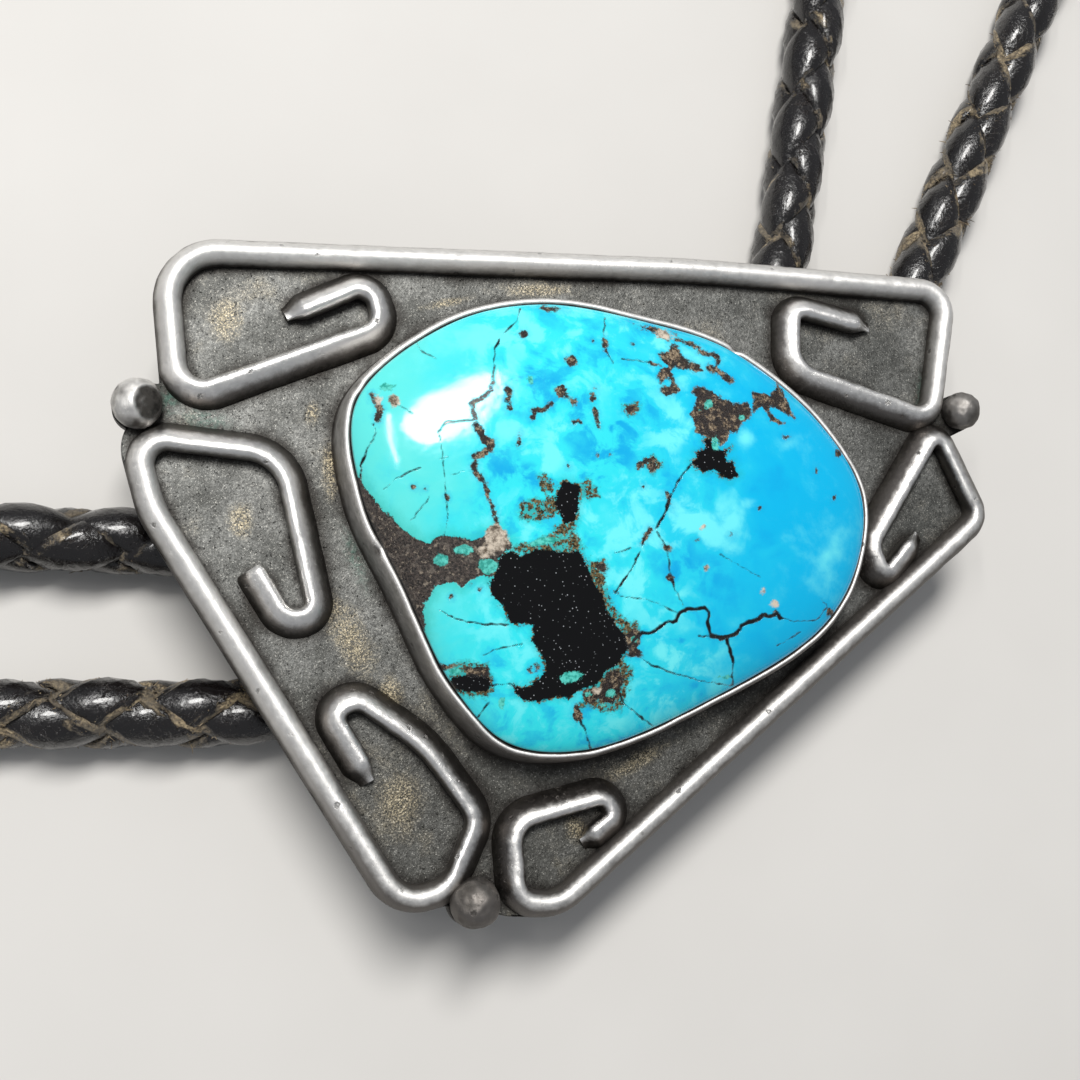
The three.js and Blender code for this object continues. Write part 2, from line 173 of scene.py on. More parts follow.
bent = rounded([(0, 0, 0), (10, 0, 3), (10, 10, 0)], False)
print("one square corner becomes", len(bent), "points")

# %% [markdown]
# A sweep along a line looks even only where the line's points are evenly apart. The other
# helper says which way is left at each point, to draw a second line beside the first.

# %% Space a line's points, and find its left
def spaced(points, step):
    """The same line with its points an even step apart."""
    gaps = np.hypot(*np.diff(points[:, :2], axis=0).T)
    way = np.concatenate([[0], np.cumsum(gaps)])
    places = np.linspace(0, way[-1], round(way[-1] / step) + 1)
    return np.stack([np.interp(places, way, column) for column in points.T], axis=1), places


def leftward(points, closed):
    """At each point, the way to the line's left, lengthened at corners so that widths hold."""
    ahead = np.roll(points, -1, axis=0) - points
    ahead /= np.hypot(*ahead.T)[:, None]
    if not closed:
        ahead[-1] = ahead[-2]
    behind = np.roll(ahead, 1, axis=0)
    if not closed:
        behind[0] = ahead[0]
    along = ahead + behind
    along /= np.hypot(*along.T)[:, None]
    stretch = 1 / np.maximum(np.sum(along * behind, axis=1), 0.5)
    return np.stack([-along[:, 1], along[:, 0]], axis=1) * stretch[:, None]


even, ways = spaced(bent, 1.0)
print("spaced evenly, it has", len(even), "points over", round(float(ways[-1]), 2))
print("its left at the start is", leftward(even, False)[0].round(2) + 0.0)

# %% [markdown]
# ## Writing node trees in code
# Both Geometry Nodes and materials are trees of nodes. A small helper keeps their making short:
# it adds a node, sets what is a plain value and links what is another node's output.

# %% A helper for node trees
class Nodes:
    """Adds nodes to one tree. Each short form below gives back an output to use further on."""

    def __init__(self, tree):
        self.tree = tree

    def add(self, kind, inputs=None, **settings):
        node = self.tree.nodes.new(kind)
        for name, value in settings.items():
            setattr(node, name, value)
        for key, value in (inputs or {}).items():
            if isinstance(value, bpy.types.NodeSocket):
                self.tree.links.new(value, node.inputs[key])
            else:
                node.inputs[key].default_value = value
        return node

    def math(self, operation, *values, clamp=False):
        inputs = dict(enumerate(values))
        return self.add("ShaderNodeMath", inputs, operation=operation, use_clamp=clamp).outputs[0]

    def vector(self, operation, *values, scale=None):
        inputs = dict(enumerate(values))
        if scale is not None:
            inputs["Scale"] = scale
        node = self.add("ShaderNodeVectorMath", inputs, operation=operation)
        return node.outputs["Value" if operation in ("LENGTH", "DOT_PRODUCT", "DISTANCE") else "Vector"]

    def noise(self, where, scale, detail=2.0, roughness=0.5, distortion=0.0, output="Fac"):
        inputs = {"Vector": where, "Scale": scale, "Detail": detail, "Roughness": roughness,
                  "Distortion": distortion}
        return self.add("ShaderNodeTexNoise", inputs).outputs[output]

    def cells(self, where, scale, feature="DISTANCE_TO_EDGE"):
        inputs = {"Vector": where, "Scale": scale}
        return self.add("ShaderNodeTexVoronoi", inputs, feature=feature).outputs["Distance"]

    def span(self, value, low, high, to_low=0.0, to_high=1.0):
        """Takes low..high smoothly to to_low..to_high and stops at both ends."""
        inputs = {"Value": value, "From Min": low, "From Max": high, "To Min": to_low, "To Max": to_high}
        return self.add("ShaderNodeMapRange", inputs, interpolation_type="SMOOTHSTEP").outputs["Result"]

    def mix(self, share, first, second):
        """Mixes two colours."""
        inputs = {0: share, 6: first, 7: second}
        return self.add("ShaderNodeMix", inputs, data_type="RGBA").outputs[2]

    def joined(self, *parts):
        """A vector from up to three numbers."""
        return self.add("ShaderNodeCombineXYZ", dict(enumerate(parts))).outputs[0]

    def split(self, vector):
        """A vector's three numbers."""
        return self.add("ShaderNodeSeparateXYZ", {0: vector}).outputs

    def capture(self, geometry, *fields):
        """Keeps fields as they are here. Each is (kind, value), and comes out from output 1 on."""
        node = self.add("GeometryNodeCaptureAttribute")
        for kind, _ in fields:
            node.capture_items.new(kind, "kept")
        self.tree.links.new(geometry, node.inputs[0])
        for slot, (_, value) in enumerate(fields, start=1):
            self.tree.links.new(value, node.inputs[slot])
        return node

    def named(self, geometry, values):
        """Stores each value on the geometry under its name, for the finishes to read."""
        for label, value in values.items():
            inputs = {"Geometry": geometry, "Name": label, "Value": value}
            geometry = self.add("GeometryNodeStoreNamedAttribute", inputs).outputs[0]
        return geometry


def paint(red, green, blue):
    return (red, green, blue, 1.0)


print("node helper ready:", ", ".join(name for name in vars(Nodes) if not name.startswith("_")))

# %% [markdown]
# A finish is a material made of such a tree. Every finish here reads object coordinates in
# metres, so the helper hands them on in millimetres, which makes the scales easy to think about.

# %% Start a finish
def new_finish(name):
    """A material, its helper, its shader and the object coordinates in millimetres."""
    finish = bpy.data.materials.new(name)
    finish.use_nodes = True
    nodes = Nodes(finish.node_tree)
    shader = finish.node_tree.nodes["Principled BSDF"]
    place = nodes.add("ShaderNodeTexCoord").outputs["Object"]
    return finish, nodes, shader, nodes.vector("SCALE", place, scale=1 / MM)


def attribute(nodes, name):
    return nodes.add("ShaderNodeAttribute", attribute_name=name).outputs["Fac"]


def bump(nodes, shader, height, depth, strength=1.0):
    """Lets a height, from 0 to 1, raise the surface by depth metres."""
    inputs = {"Height": height, "Distance": depth, "Strength": strength}
    node = nodes.add("ShaderNodeBump", inputs)
    nodes.tree.links.new(node.outputs["Normal"], shader.inputs["Normal"])


print("finishes will read places in steps of", MM, "m")

# %% [markdown]
# ## The cord's route
# The cord's length is real, so its route is a fixed list of corners on the table. It starts in
# one tip, passes through the clasp, goes round as the neck loop and comes back through the
# clasp to the other tip. It rises a little to reach the clasp's bores and the tips' mouths.

# %% The route, in metres
CORD_DIAMETER = 5.6 * MM
CORD_REST = CORD_DIAMETER / 2 + 0.15 * MM
CHANNEL_AXIS = 4.0 * MM
TIP_RADIUS = 3.15 * MM
FLAT_TO = 8.85 * MM
RAMP_LENGTH = 14 * MM
ROUTE = [
    (-58.5, 24.0, 0), (-58.5, 2.0, 13.5), (-20.4, 2.3, 30), (-3.6, 10.9, 0), (18.4, 22.1, 20),
    (27.2, 73.0, 13), (-77.0, 67.0, 22), (-77.0, -51.0, 24), (64.0, -51.5, 24),
    (74.9, 66.5, 12.8), (66.2, 75.4, 12.8), (53.8, 72.9, 12.8), (25.9, 13.3, 30),
    (1.5, 0.9, 0), (-21.9, -11.0, 30), (-67.2, -11.2, 14), (-67.2, 17.0, 0),
]
LACE_STEP = 0.55 * MM


def smooth_fall(distance, start, end):
    """1 up to start, 0 from end on, smooth between."""
    share = np.clip((distance - start) / (end - start), 0, 1)
    return 1 - share * share * (3 - 2 * share)


def cord_route():
    corners = [(x * MM, y * MM, bend * MM) for x, y, bend in ROUTE]
    plan, way = spaced(rounded(corners, False), LACE_STEP)
    from_clasp = np.hypot(*(plan - CLASP_CENTRE).T)
    from_tip = np.minimum(way, way[-1] - way)
    level = np.full(len(plan), CORD_REST)
    level += smooth_fall(from_clasp, FLAT_TO, FLAT_TO + RAMP_LENGTH) * (CHANNEL_AXIS - CORD_REST)
    level += smooth_fall(from_tip, 0, RAMP_LENGTH) * (TIP_RADIUS - CORD_REST)
    return np.column_stack([plan + slide_middle, level])


route = cord_route()

# %% [markdown]
# ## From a tree to a plain mesh
# A Geometry Nodes tree is a recipe that stays live on an object. Each tree here has named
# inputs for its sizes. Once it has made its piece, the result is turned into a plain mesh and
# the recipe is taken away, so that the piece can be handed on without it.

# %% Make a tree with named inputs, and turn its result into a mesh
def new_tree(name, sizes):
    """A geometry tree. sizes gives each named input its default; whole numbers stay whole."""
    tree = bpy.data.node_groups.new(name, "GeometryNodeTree")
    tree.interface.new_socket("Geometry", in_out="INPUT", socket_type="NodeSocketGeometry")
    tree.interface.new_socket("Finish", in_out="INPUT", socket_type="NodeSocketMaterial")
    for label, value in sizes.items():
        kind = "NodeSocketInt" if isinstance(value, int) else "NodeSocketFloat"
        tree.interface.new_socket(label, in_out="INPUT", socket_type=kind).default_value = value
    tree.interface.new_socket("Geometry", in_out="OUTPUT", socket_type="NodeSocketGeometry")
    nodes = Nodes(tree)
    return tree, nodes, nodes.add("NodeGroupInput").outputs


def end_tree(nodes, geometry, finish):
    """Realizes instances, sets the finish and closes the tree."""
    real = nodes.add("GeometryNodeRealizeInstances", {"Geometry": geometry}).outputs[0]
    dressed = nodes.add("GeometryNodeSetMaterial", {"Geometry": real, "Material": finish}).outputs[0]
    smooth = nodes.add("GeometryNodeSetShadeSmooth", {"Geometry": dressed}).outputs[0]
    nodes.add("NodeGroupOutput", {"Geometry": smooth})


def grow(name, source, tree, values):
    """Runs a tree on an object and keeps what it makes as a plain mesh piece."""
    modifier = source.modifiers.new("recipe", "NODES")
    modifier.node_group = tree
    for item in tree.interface.items_tree:
        if item.in_out == "INPUT" and item.name in values:
            modifier[item.identifier] = values[item.name]
    graph = bpy.context.evaluated_depsgraph_get()
    mesh = bpy.data.meshes.new_from_object(source.evaluated_get(graph), depsgraph=graph)
    source.modifiers.remove(modifier)
    mesh.name = name
    triangles = sum(len(p.vertices) - 2 for p in mesh.polygons)
    print(name, len(mesh.vertices), "vertices,", triangles, "triangles")
    return put_in_scene(name, mesh)


def drawn_line(name, points, widths=None, leans=None):
    """A curve object through the points. It keeps widths as radii and leans as tilts."""
    curve = bpy.data.curves.new(name, "CURVE")
    curve.dimensions = "3D"
    spline = curve.splines.new("POLY")
    spline.points.add(len(points) - 1)
    flat = np.column_stack([points, np.ones(len(points))])
    spline.points.foreach_set("co", flat.ravel())
    if widths is not None:
        spline.points.foreach_set("radius", np.asarray(widths, dtype=float))
    if leans is not None:
        spline.points.foreach_set("tilt", np.asarray(leans, dtype=float))
    return put_in_scene(name, curve)


# %% [markdown]
# ## Braided leather
# The cord is a round braid of four flat leather laces. Two turn one way round the cord and two
# the other way, and each goes over one lace and under the next. A lace could be drawn point by
# point, but its place follows a rule: its angle round the cord grows with the way along it, and
# its distance from the middle swings out and in as it passes over and under. So a tree copies
# the route four times, moves the copies by that rule and sweeps a flat section along them.

# %% The braid's tree
def braid_tree():
    tree, n, given = new_tree("braided laces", {
        "Turn length": 14 * MM, "Middle radius": 1.62 * MM, "Weave depth": 0.56 * MM,
        "Over stretch": 0.2, "Lace width": 4.0 * MM, "Lace thickness": 1.25 * MM,
        "Lace arch": 3.1 * MM, "Core radius": 1.5 * MM, "Wander": 0.16 * MM, "Seed": 4,
    })
    copies = n.add("GeometryNodeDuplicateElements", {"Geometry": given["Geometry"], "Amount": 4},
                   domain="SPLINE")
    number = copies.outputs["Duplicate Index"]
    way = n.add("GeometryNodeSplineParameter").outputs["Length"]
    hand = n.math("SUBTRACT", 1.0, n.math("MULTIPLY", 2.0, n.math("MODULO", number, 2.0)))
    start = n.math("MULTIPLY", math.pi, n.math("FLOOR", n.math("DIVIDE", number, 2.0)))
    turned = n.math("DIVIDE", n.math("MULTIPLY", way, 2 * math.pi), given["Turn length"])
    even = n.math("MULTIPLY_ADD", turned, hand, start)
    swing = n.math("SINE", n.math("MULTIPLY", even, 2.0))
    stretch = n.math("MULTIPLY", n.math("MULTIPLY", swing, given["Over stretch"]), hand)
    angle = n.math("SUBTRACT", even, stretch)
    weave = n.math("MULTIPLY", n.math("COSINE", n.math("MULTIPLY", angle, 2.0)), hand)
    radius = n.math("MULTIPLY_ADD", weave, given["Weave depth"], given["Middle radius"])

    ahead = n.add("GeometryNodeInputTangent").outputs[0]
    side = n.vector("NORMALIZE", n.vector("CROSS_PRODUCT", (0.0, 0.0, 1.0), ahead))
    up = n.vector("CROSS_PRODUCT", ahead, side)
    seen = n.math("SUBTRACT", angle, math.pi / 4)
    outward = n.vector("ADD", n.vector("SCALE", up, scale=n.math("COSINE", seen)),
                       n.vector("SCALE", side, scale=n.math("SINE", seen)))
    here = n.add("GeometryNodeInputPosition").outputs[0]
    drift = n.vector("ADD", n.vector("SCALE", here, scale=1 / MM),
                     n.vector("SCALE", (17.0, 5.0, 3.0), scale=n.math("ADD", number, given["Seed"])))
    swung = n.vector("SUBTRACT", n.noise(drift, 0.16, output="Color"), (0.5, 0.5, 0.5))
    stray = n.vector("SCALE", swung, scale=n.math("MULTIPLY", given["Wander"], 4.0))

    kept = n.capture(copies.outputs["Geometry"], ("VECTOR", outward), ("FLOAT", way), ("FLOAT", number))
    offset = n.vector("ADD", n.vector("SCALE", outward, scale=radius), stray)
    moved = n.add("GeometryNodeSetPosition", {"Geometry": kept.outputs[0], "Offset": offset}).outputs[0]
    along = n.add("GeometryNodeInputTangent").outputs[0]
    lean = n.vector("DOT_PRODUCT", kept.outputs[1], along)
    off_line = n.vector("SUBTRACT", kept.outputs[1], n.vector("SCALE", along, scale=lean))
    flat = n.vector("NORMALIZE", off_line)
    turned_up = n.add("GeometryNodeSetCurveNormal", {"Curve": moved, "Normal": flat},
                      mode="FREE").outputs[0]

    ring = n.add("GeometryNodeCurvePrimitiveCircle", {"Resolution": 12, "Radius": 1.0}).outputs[0]
    at_ring = n.split(n.add("GeometryNodeInputPosition").outputs[0])
    parts = []
    for value, power in ((at_ring[0], 0.62), (at_ring[1], 0.7)):
        size = n.math("POWER", n.math("ABSOLUTE", value), power)
        parts.append(n.math("MULTIPLY", size, n.math("SIGN", value)))
    ring_kept = n.capture(ring, ("FLOAT", parts[0]))
    wide = n.math("MULTIPLY", n.math("MULTIPLY", parts[0], given["Lace width"]), 0.5)
    thick = n.math("MULTIPLY", n.math("MULTIPLY", parts[1], given["Lace thickness"]), 0.5)
    droop = n.math("DIVIDE", n.math("MULTIPLY", wide, wide), n.math("MULTIPLY", given["Lace arch"], 2.0))
    shape = n.joined(n.math("SUBTRACT", thick, droop), wide)
    section = n.add("GeometryNodeSetPosition",
                    {"Geometry": ring_kept.outputs[0], "Position": shape}).outputs[0]
    laces = n.add("GeometryNodeCurveToMesh",
                  {"Curve": turned_up, "Profile Curve": section, "Fill Caps": True})
    woven = n.named(laces.outputs[0], {
        "way": kept.outputs[2], "lace": kept.outputs[3], "across": ring_kept.outputs[1],
    })

    thin = n.add("GeometryNodeResampleCurve", {"Curve": given["Geometry"], "Length": 2 * MM},
                 mode="LENGTH")
    core_ring = n.add("GeometryNodeCurvePrimitiveCircle",
                      {"Resolution": 8, "Radius": given["Core radius"]})
    core = n.add("GeometryNodeCurveToMesh",
                 {"Curve": thin.outputs[0], "Profile Curve": core_ring.outputs[0], "Fill Caps": True})
    both = n.add("GeometryNodeJoinGeometry")
    n.tree.links.new(woven, both.inputs[0])
    n.tree.links.new(core.outputs[0], both.inputs[0])
    end_tree(n, both.outputs[0], given["Finish"])
    return tree


braid_recipe = braid_tree()
print("the braid's tree has", len(braid_recipe.nodes), "nodes")

leather, leather_nodes, leather_shader, leather_place = new_finish("braided leather")
route_line = drawn_line("cord_route", route)
braid = grow("braided_leather_cord", route_line, braid_recipe, {"Finish": leather})
bpy.data.objects.remove(route_line)

# %% [markdown]
# A worn leather lace has fibres standing out of its cut edges. They are thin slivers: each is one
# short bent strip with few faces, scattered over the laces' edges, most of them where a noise
# says that the edge is worn. None starts lower than it is long, so none reaches into the table.
# They are a piece of their own, so that the laces stay light.

# %% The fibres' tree
def fray_tree():
    tree, n, given = new_tree("frayed edges", {
        "Density": 1.0e6, "Length": 0.85 * MM, "Width": 0.085 * MM, "Seed": 11,
    })
    across = n.add("GeometryNodeInputNamedAttribute", {"Name": "across"}, data_type="FLOAT").outputs[0]
    place = n.vector("SCALE", n.add("GeometryNodeInputPosition").outputs[0], scale=1 / MM)
    at_edge = n.span(n.math("ABSOLUTE", across), 0.8, 0.98)
    way = n.add("GeometryNodeInputNamedAttribute", {"Name": "way"}, data_type="FLOAT").outputs[0]
    older = n.span(way, 0.56, 0.66)
    worn = n.span(n.math("MULTIPLY_ADD", older, 0.14, n.noise(place, 0.42, 4.0, 0.65)), 0.50, 0.64)
    worn = n.math("MULTIPLY", worn, n.math("MULTIPLY_ADD", older, 6.0, 0.5))
    worn = n.math("MULTIPLY", worn, n.math("GREATER_THAN", n.split(place)[2], 1.25))
    density = n.math("MULTIPLY", n.math("MULTIPLY", at_edge, worn), given["Density"])
    points = n.add("GeometryNodeDistributePointsOnFaces", {
        "Mesh": given["Geometry"], "Density": density, "Seed": given["Seed"],
    }, distribute_method="RANDOM")
    strip = n.add("GeometryNodeCurvePrimitiveLine", {"End": (0, 0, 1)}).outputs[0]
    cut = n.add("GeometryNodeResampleCurve", {"Curve": strip, "Count": 3}).outputs[0]
    share = n.add("GeometryNodeSplineParameter").outputs["Factor"]
    curl = n.joined(n.math("MULTIPLY", n.math("POWER", share, 2.0), 0.55))
    bent = n.add("GeometryNodeSetPosition", {"Geometry": cut, "Offset": curl}).outputs[0]
    ring = n.add("GeometryNodeCurvePrimitiveCircle", {"Resolution": 3, "Radius": 1.0}).outputs[0]
    thin = n.math("MULTIPLY", n.math("DIVIDE", given["Width"], given["Length"]),
                  n.math("SUBTRACT", 1.0, n.math("MULTIPLY", share, 0.75)))
    fibre = n.add("GeometryNodeCurveToMesh", {
        "Curve": bent, "Profile Curve": ring, "Scale": thin, "Fill Caps": True,
    }).outputs[0]
    turn = n.add("FunctionNodeRandomValue", {
        "Min": (-1.0, -1.0, -3.1), "Max": (1.0, 1.0, 3.1), "Seed": given["Seed"],
    }, data_type="FLOAT_VECTOR")
    tilt = n.add("FunctionNodeRotateRotation", {
        "Rotation": points.outputs["Rotation"], "Rotate By": turn.outputs["Value"],
    }, rotation_space="LOCAL")
    size = n.add("FunctionNodeRandomValue", {
        2: 0.35, 3: 1.25, "Seed": n.math("ADD", given["Seed"], 1.0),
    }, data_type="FLOAT")
    put = n.add("GeometryNodeInstanceOnPoints", {
        "Points": points.outputs[0], "Instance": fibre, "Rotation": tilt.outputs[0],
        "Scale": n.math("MULTIPLY", size.outputs[1], given["Length"]),
    })
    end_tree(n, put.outputs[0], given["Finish"])
    return tree


fray_recipe = fray_tree()
print("the fibres' tree has", len(fray_recipe.nodes), "nodes")

raw_leather, raw_nodes, raw_shader, raw_place = new_finish("raw leather")
fray_source = braid.copy()
fray_source.data = braid.data.copy()
bpy.context.collection.objects.link(fray_source)
fray = grow("cord_fray", fray_source, fray_recipe, {"Finish": raw_leather})
bpy.data.objects.remove(fray_source)

# %% [markdown]
# Old leather is dyed nearly black and polished by wear, so it shines on the high spots, while
# its cracks are dull. Where a lace was cut, the raw brown hide shows. The laces carry their own
# coordinates: way runs along a lace, across from one cut edge to the other. The last stretch of
# the cord, from FRAYED_FROM mm on, is more worn than the rest.

# %% Finish the leather
BLACK_DYE = paint(0.0016, 0.0014, 0.0015)
BROWN_DYE = paint(0.0060, 0.0036, 0.0034)
DUST_IN_CRACKS = paint(0.05, 0.034, 0.024)
DARK_HIDE = paint(0.045, 0.034, 0.024)
TAN_HIDE = paint(0.52, 0.41, 0.25)
GREY_HIDE = paint(0.10, 0.088, 0.072)
DARK_FIBRE = paint(0.06, 0.04, 0.025)
PALE_FIBRE = paint(0.38, 0.30, 0.19)
FRAYED_FROM = 560.0
FRAYED_TO = 700.0


def finish_leather():
    n, shader, place = leather_nodes, leather_shader, leather_place
    across = attribute(n, "across")
    way = n.math("MULTIPLY", attribute(n, "way"), 1 / MM)
    lace = attribute(n, "lace")
    on_lace = n.joined(n.math("MULTIPLY", way, 0.45), n.math("MULTIPLY", across, 3.2),
                       n.math("MULTIPLY", lace, 9.0))
    worn = n.span(way, FRAYED_FROM, FRAYED_TO)
    broad = n.noise(place, 0.35, 4.0)
    grain = n.noise(place, 7.0, 6.0, 0.62)
    crack = n.cells(n.vector("ADD", on_lace, n.noise(place, 1.6, 3.0, output="Color")), 1.3)
    cracked = n.math("MULTIPLY", n.span(crack, 0.0, 0.07, 1.0, 0.0), n.span(broad, 0.5, 0.66))
    edge = n.math("MULTIPLY_ADD", n.math("SUBTRACT", n.noise(on_lace, 2.4, 6.0, 0.75), 0.5), 0.7,
                  n.math("ABSOLUTE", across))
    edge = n.math("MULTIPLY_ADD", n.math("SUBTRACT", n.noise(on_lace, 0.9, 2.0), 0.5), 1.1, edge)
    edge = n.math("MULTIPLY_ADD", worn, 0.08, edge)
    patchy = n.math("MULTIPLY_ADD", worn, 0.09, n.noise(place, 0.42, 5.0, 0.7))
    raw = n.math("MULTIPLY", n.span(edge, 0.86, 1.01), n.span(patchy, 0.45, 0.55))
    dyed = n.mix(broad, BLACK_DYE, BROWN_DYE)
    dusty = n.mix(n.math("MULTIPLY", cracked, 0.3), dyed, DUST_IN_CRACKS)
    hide = n.mix(n.span(n.noise(place, 4.0, 6.0, 0.75), 0.32, 0.68), DARK_HIDE, TAN_HIDE)
    hide = n.mix(n.math("MULTIPLY", n.span(broad, 0.6, 0.42), 0.7), hide, GREY_HIDE)
    colour = n.mix(raw, dusty, hide)
    n.tree.links.new(colour, shader.inputs["Base Color"])
    gloss = n.span(grain, 0.3, 0.75, 0.16, 0.30)
    dull = n.math("MAXIMUM", raw, n.math("MULTIPLY", cracked, 0.6))
    rough = n.math("MULTIPLY_ADD", dull, 0.5, gloss, clamp=True)
    n.tree.links.new(rough, shader.inputs["Roughness"])
    shader.inputs["Specular IOR Level"].default_value = 0.55
    shader.inputs["Coat Weight"].default_value = 0.45
    shader.inputs["Coat Roughness"].default_value = 0.1
    pores = n.span(n.cells(place, 2.9, "F1"), 0.05, 0.22)
    wrinkles = n.noise(n.vector("MULTIPLY", on_lace, (3.4, 0.5, 1.0)), 1.0, 3.0, 0.6)
    height = n.math("MULTIPLY_ADD", grain, 0.18, n.math("MULTIPLY", pores, 0.6))
    height = n.math("MULTIPLY_ADD", cracked, -0.5, height)
    height = n.math("MULTIPLY_ADD", wrinkles, 0.7, height)
    height = n.math("MULTIPLY_ADD", broad, 0.9, height)
    height = n.math("MULTIPLY_ADD", n.math("MULTIPLY", raw, n.noise(place, 3.0, 5.0, 0.8)), 1.2, height)
    bump(n, shader, height, 0.24 * MM, 0.8)


def finish_raw_leather():
    n, shader, place = raw_nodes, raw_shader, raw_place
    colour = n.mix(n.span(n.noise(place, 1.2, 3.0), 0.3, 0.7), DARK_FIBRE, PALE_FIBRE)
    n.tree.links.new(colour, shader.inputs["Base Color"])
    shader.inputs["Roughness"].default_value = 0.85


finish_leather()
finish_raw_leather()
print("leather of", len(leather.node_tree.nodes), "nodes")

# %% [markdown]
# ## The silver slide
# The slide is built as a silversmith does it: wires are bent and soldered round the rim of a
# plate, balls are set in the notches, and a strip stands on edge round the stone. The three
# tables of corners below are the packed model's own.

# %% The wires' corners, as shares of the slide, with bends in mm
WIRES = {
    "wire_top": [
        (-0.353, 0.361, 0), (-0.255, 0.427, 2.1), (-0.237, 0.343, 2.1), (-0.462, 0.213, 2.4),
        (-0.482, 0.440, 3.9), (0.125, 0.479, 70), (0.456, 0.480, 2.2), (0.426, 0.253, 2.0),
        (0.236, 0.321, 2.8), (0.238, 0.440, 1.6), (0.350, 0.413, 0),
    ],
    "wire_left": [
        (-0.383, -0.013, 0), (-0.346, -0.092, 2.0), (-0.303, -0.076, 2.0), (-0.346, 0.161, 3.9),
        (-0.508, 0.177, 3.0), (-0.484, 0.068, 7.0), (-0.219, -0.472, 3.0), (-0.161, -0.456, 3.1),
        (-0.127, -0.355, 2.7), (-0.188, -0.247, 12), (-0.267, -0.177, 2.0), (-0.302, -0.207, 2.0),
        (-0.255, -0.307, 0),
    ],
    "wire_lower": [
        (-0.015, -0.398, 0), (0.029, -0.356, 1.6), (0.009, -0.316, 1.6), (-0.105, -0.355, 2.5),
        (-0.097, -0.475, 2.3), (-0.044, -0.479, 3.5), (0.491, 0.108, 1.8), (0.432, 0.266, 1.4),
        (0.331, 0.057, 2.3), (0.352, -0.013, 1.3), (0.408, 0.072, 0),
    ],
}
RIM = [("wire_top", 3, 7), ("wire_lower", 6, 4), ("wire_left", 7, 4)]
WIRE_WIDTH = 2.1 * MM
WIRE_HEIGHT = 1.65 * MM
# How narrow a wire's two ends are filed, and over what length
WIRE_ENDS = {
    "wire_top": ((0.45, 1.6 * MM), (0.3, 1.8 * MM)),
    "wire_left": ((0.82, 0.35 * MM), (0.4, 1.6 * MM)),
    "wire_lower": ((0.35, 1.2 * MM), (0.35, 1.6 * MM)),
}


def slide_corners(rows):
    return [(*on_slide(x, y), bend * MM) for x, y, bend in rows]


print({name: len(rows) for name, rows in WIRES.items()}, "corners")

# %% [markdown]
# A wire follows a path, so it comes from a tree: it sweeps a crowned section along the line,
# lets its width wander a little and pushes small dents into it. Crowned wire rolls over when it
# is bent, so its crest leans to the inside of each curl; the line's tilt says how far. ridge
# tells the finish how high up the wire a point is, since a cloth polishes the crest alone.

# %% The wires' tree
def wire_tree():
    tree, n, given = new_tree("soldered wire", {
        "Width": WIRE_WIDTH, "Height": WIRE_HEIGHT, "Foot": 0.15 * MM, "Fullness": 1.08,
        "Wander": 0.09, "Dent depth": 0.09 * MM, "Seed": 3,
    })
    ahead = n.add("GeometryNodeInputTangent").outputs[0]
    left = n.vector("NORMALIZE", n.vector("CROSS_PRODUCT", (0.0, 0.0, 1.0), ahead))
    sideways = n.vector("SCALE", left, scale=n.add("GeometryNodeInputCurveTilt").outputs[0])
    leaning = n.capture(given["Geometry"], ("VECTOR", sideways))
    untilted = n.add("GeometryNodeSetCurveTilt", {"Curve": leaning.outputs[0], "Tilt": 0.0}).outputs[0]
    line = n.add("GeometryNodeSetCurveNormal", {"Curve": untilted, "Normal": (0, 0, 1)},
                 mode="FREE").outputs[0]
    place = n.vector("SCALE", n.add("GeometryNodeInputPosition").outputs[0], scale=1 / MM)
    shifted = n.vector("ADD", place, n.vector("SCALE", (1.0, 1.0, 1.0), scale=given["Seed"]))
    wander = n.math("MULTIPLY", n.math("SUBTRACT", n.noise(shifted, 0.35), 0.5), given["Wander"])
    grow_by = n.math("MULTIPLY", n.add("GeometryNodeInputRadius").outputs[0], n.math("ADD", wander, 1.0))
    ring = n.add("GeometryNodeCurvePrimitiveCircle", {"Resolution": 28, "Radius": 1.0}).outputs[0]
    at_ring = n.split(n.add("GeometryNodeInputPosition").outputs[0])
    parts = []
    for value in (at_ring[0], at_ring[1]):
        size = n.math("POWER", n.math("ABSOLUTE", value), given["Fullness"])
        parts.append(n.math("MULTIPLY", size, n.math("SIGN", value)))
    high = n.math("MAXIMUM", n.math("MULTIPLY", parts[0], given["Height"]),
                  n.math("MULTIPLY", given["Foot"], -1.0))
    wide = n.math("MULTIPLY", n.math("MULTIPLY", parts[1], given["Width"]), 0.5)
    shape = n.joined(high, wide)
    kept = n.capture(ring, ("FLOAT", parts[0]), ("FLOAT", high))
    section = n.add("GeometryNodeSetPosition",
                    {"Geometry": kept.outputs[0], "Position": shape}).outputs[0]
    wire = n.add("GeometryNodeCurveToMesh", {
        "Curve": line, "Profile Curve": section, "Scale": grow_by, "Fill Caps": True,
    }).outputs[0]
    named = n.named(wire, {
        "ridge": kept.outputs[1], "lean": n.vector("LENGTH", leaning.outputs[1]),
    })
    hits = n.span(n.cells(shifted, 0.42, "F1"), 0.0, 0.3, 1.0, 0.0)
    dent = n.math("ADD", n.math("MULTIPLY", hits, -0.7), n.math("SUBTRACT", n.noise(shifted, 0.9), 0.5))
    push = n.vector("SCALE", n.add("GeometryNodeInputNormal").outputs[0],
                    scale=n.math("MULTIPLY", dent, given["Dent depth"]))
    over = n.vector("SCALE", leaning.outputs[1], scale=kept.outputs[2])
    dented = n.add("GeometryNodeSetPosition",
                   {"Geometry": named, "Offset": n.vector("ADD", push, over)}).outputs[0]
    end_tree(n, dented, given["Finish"])
    return tree


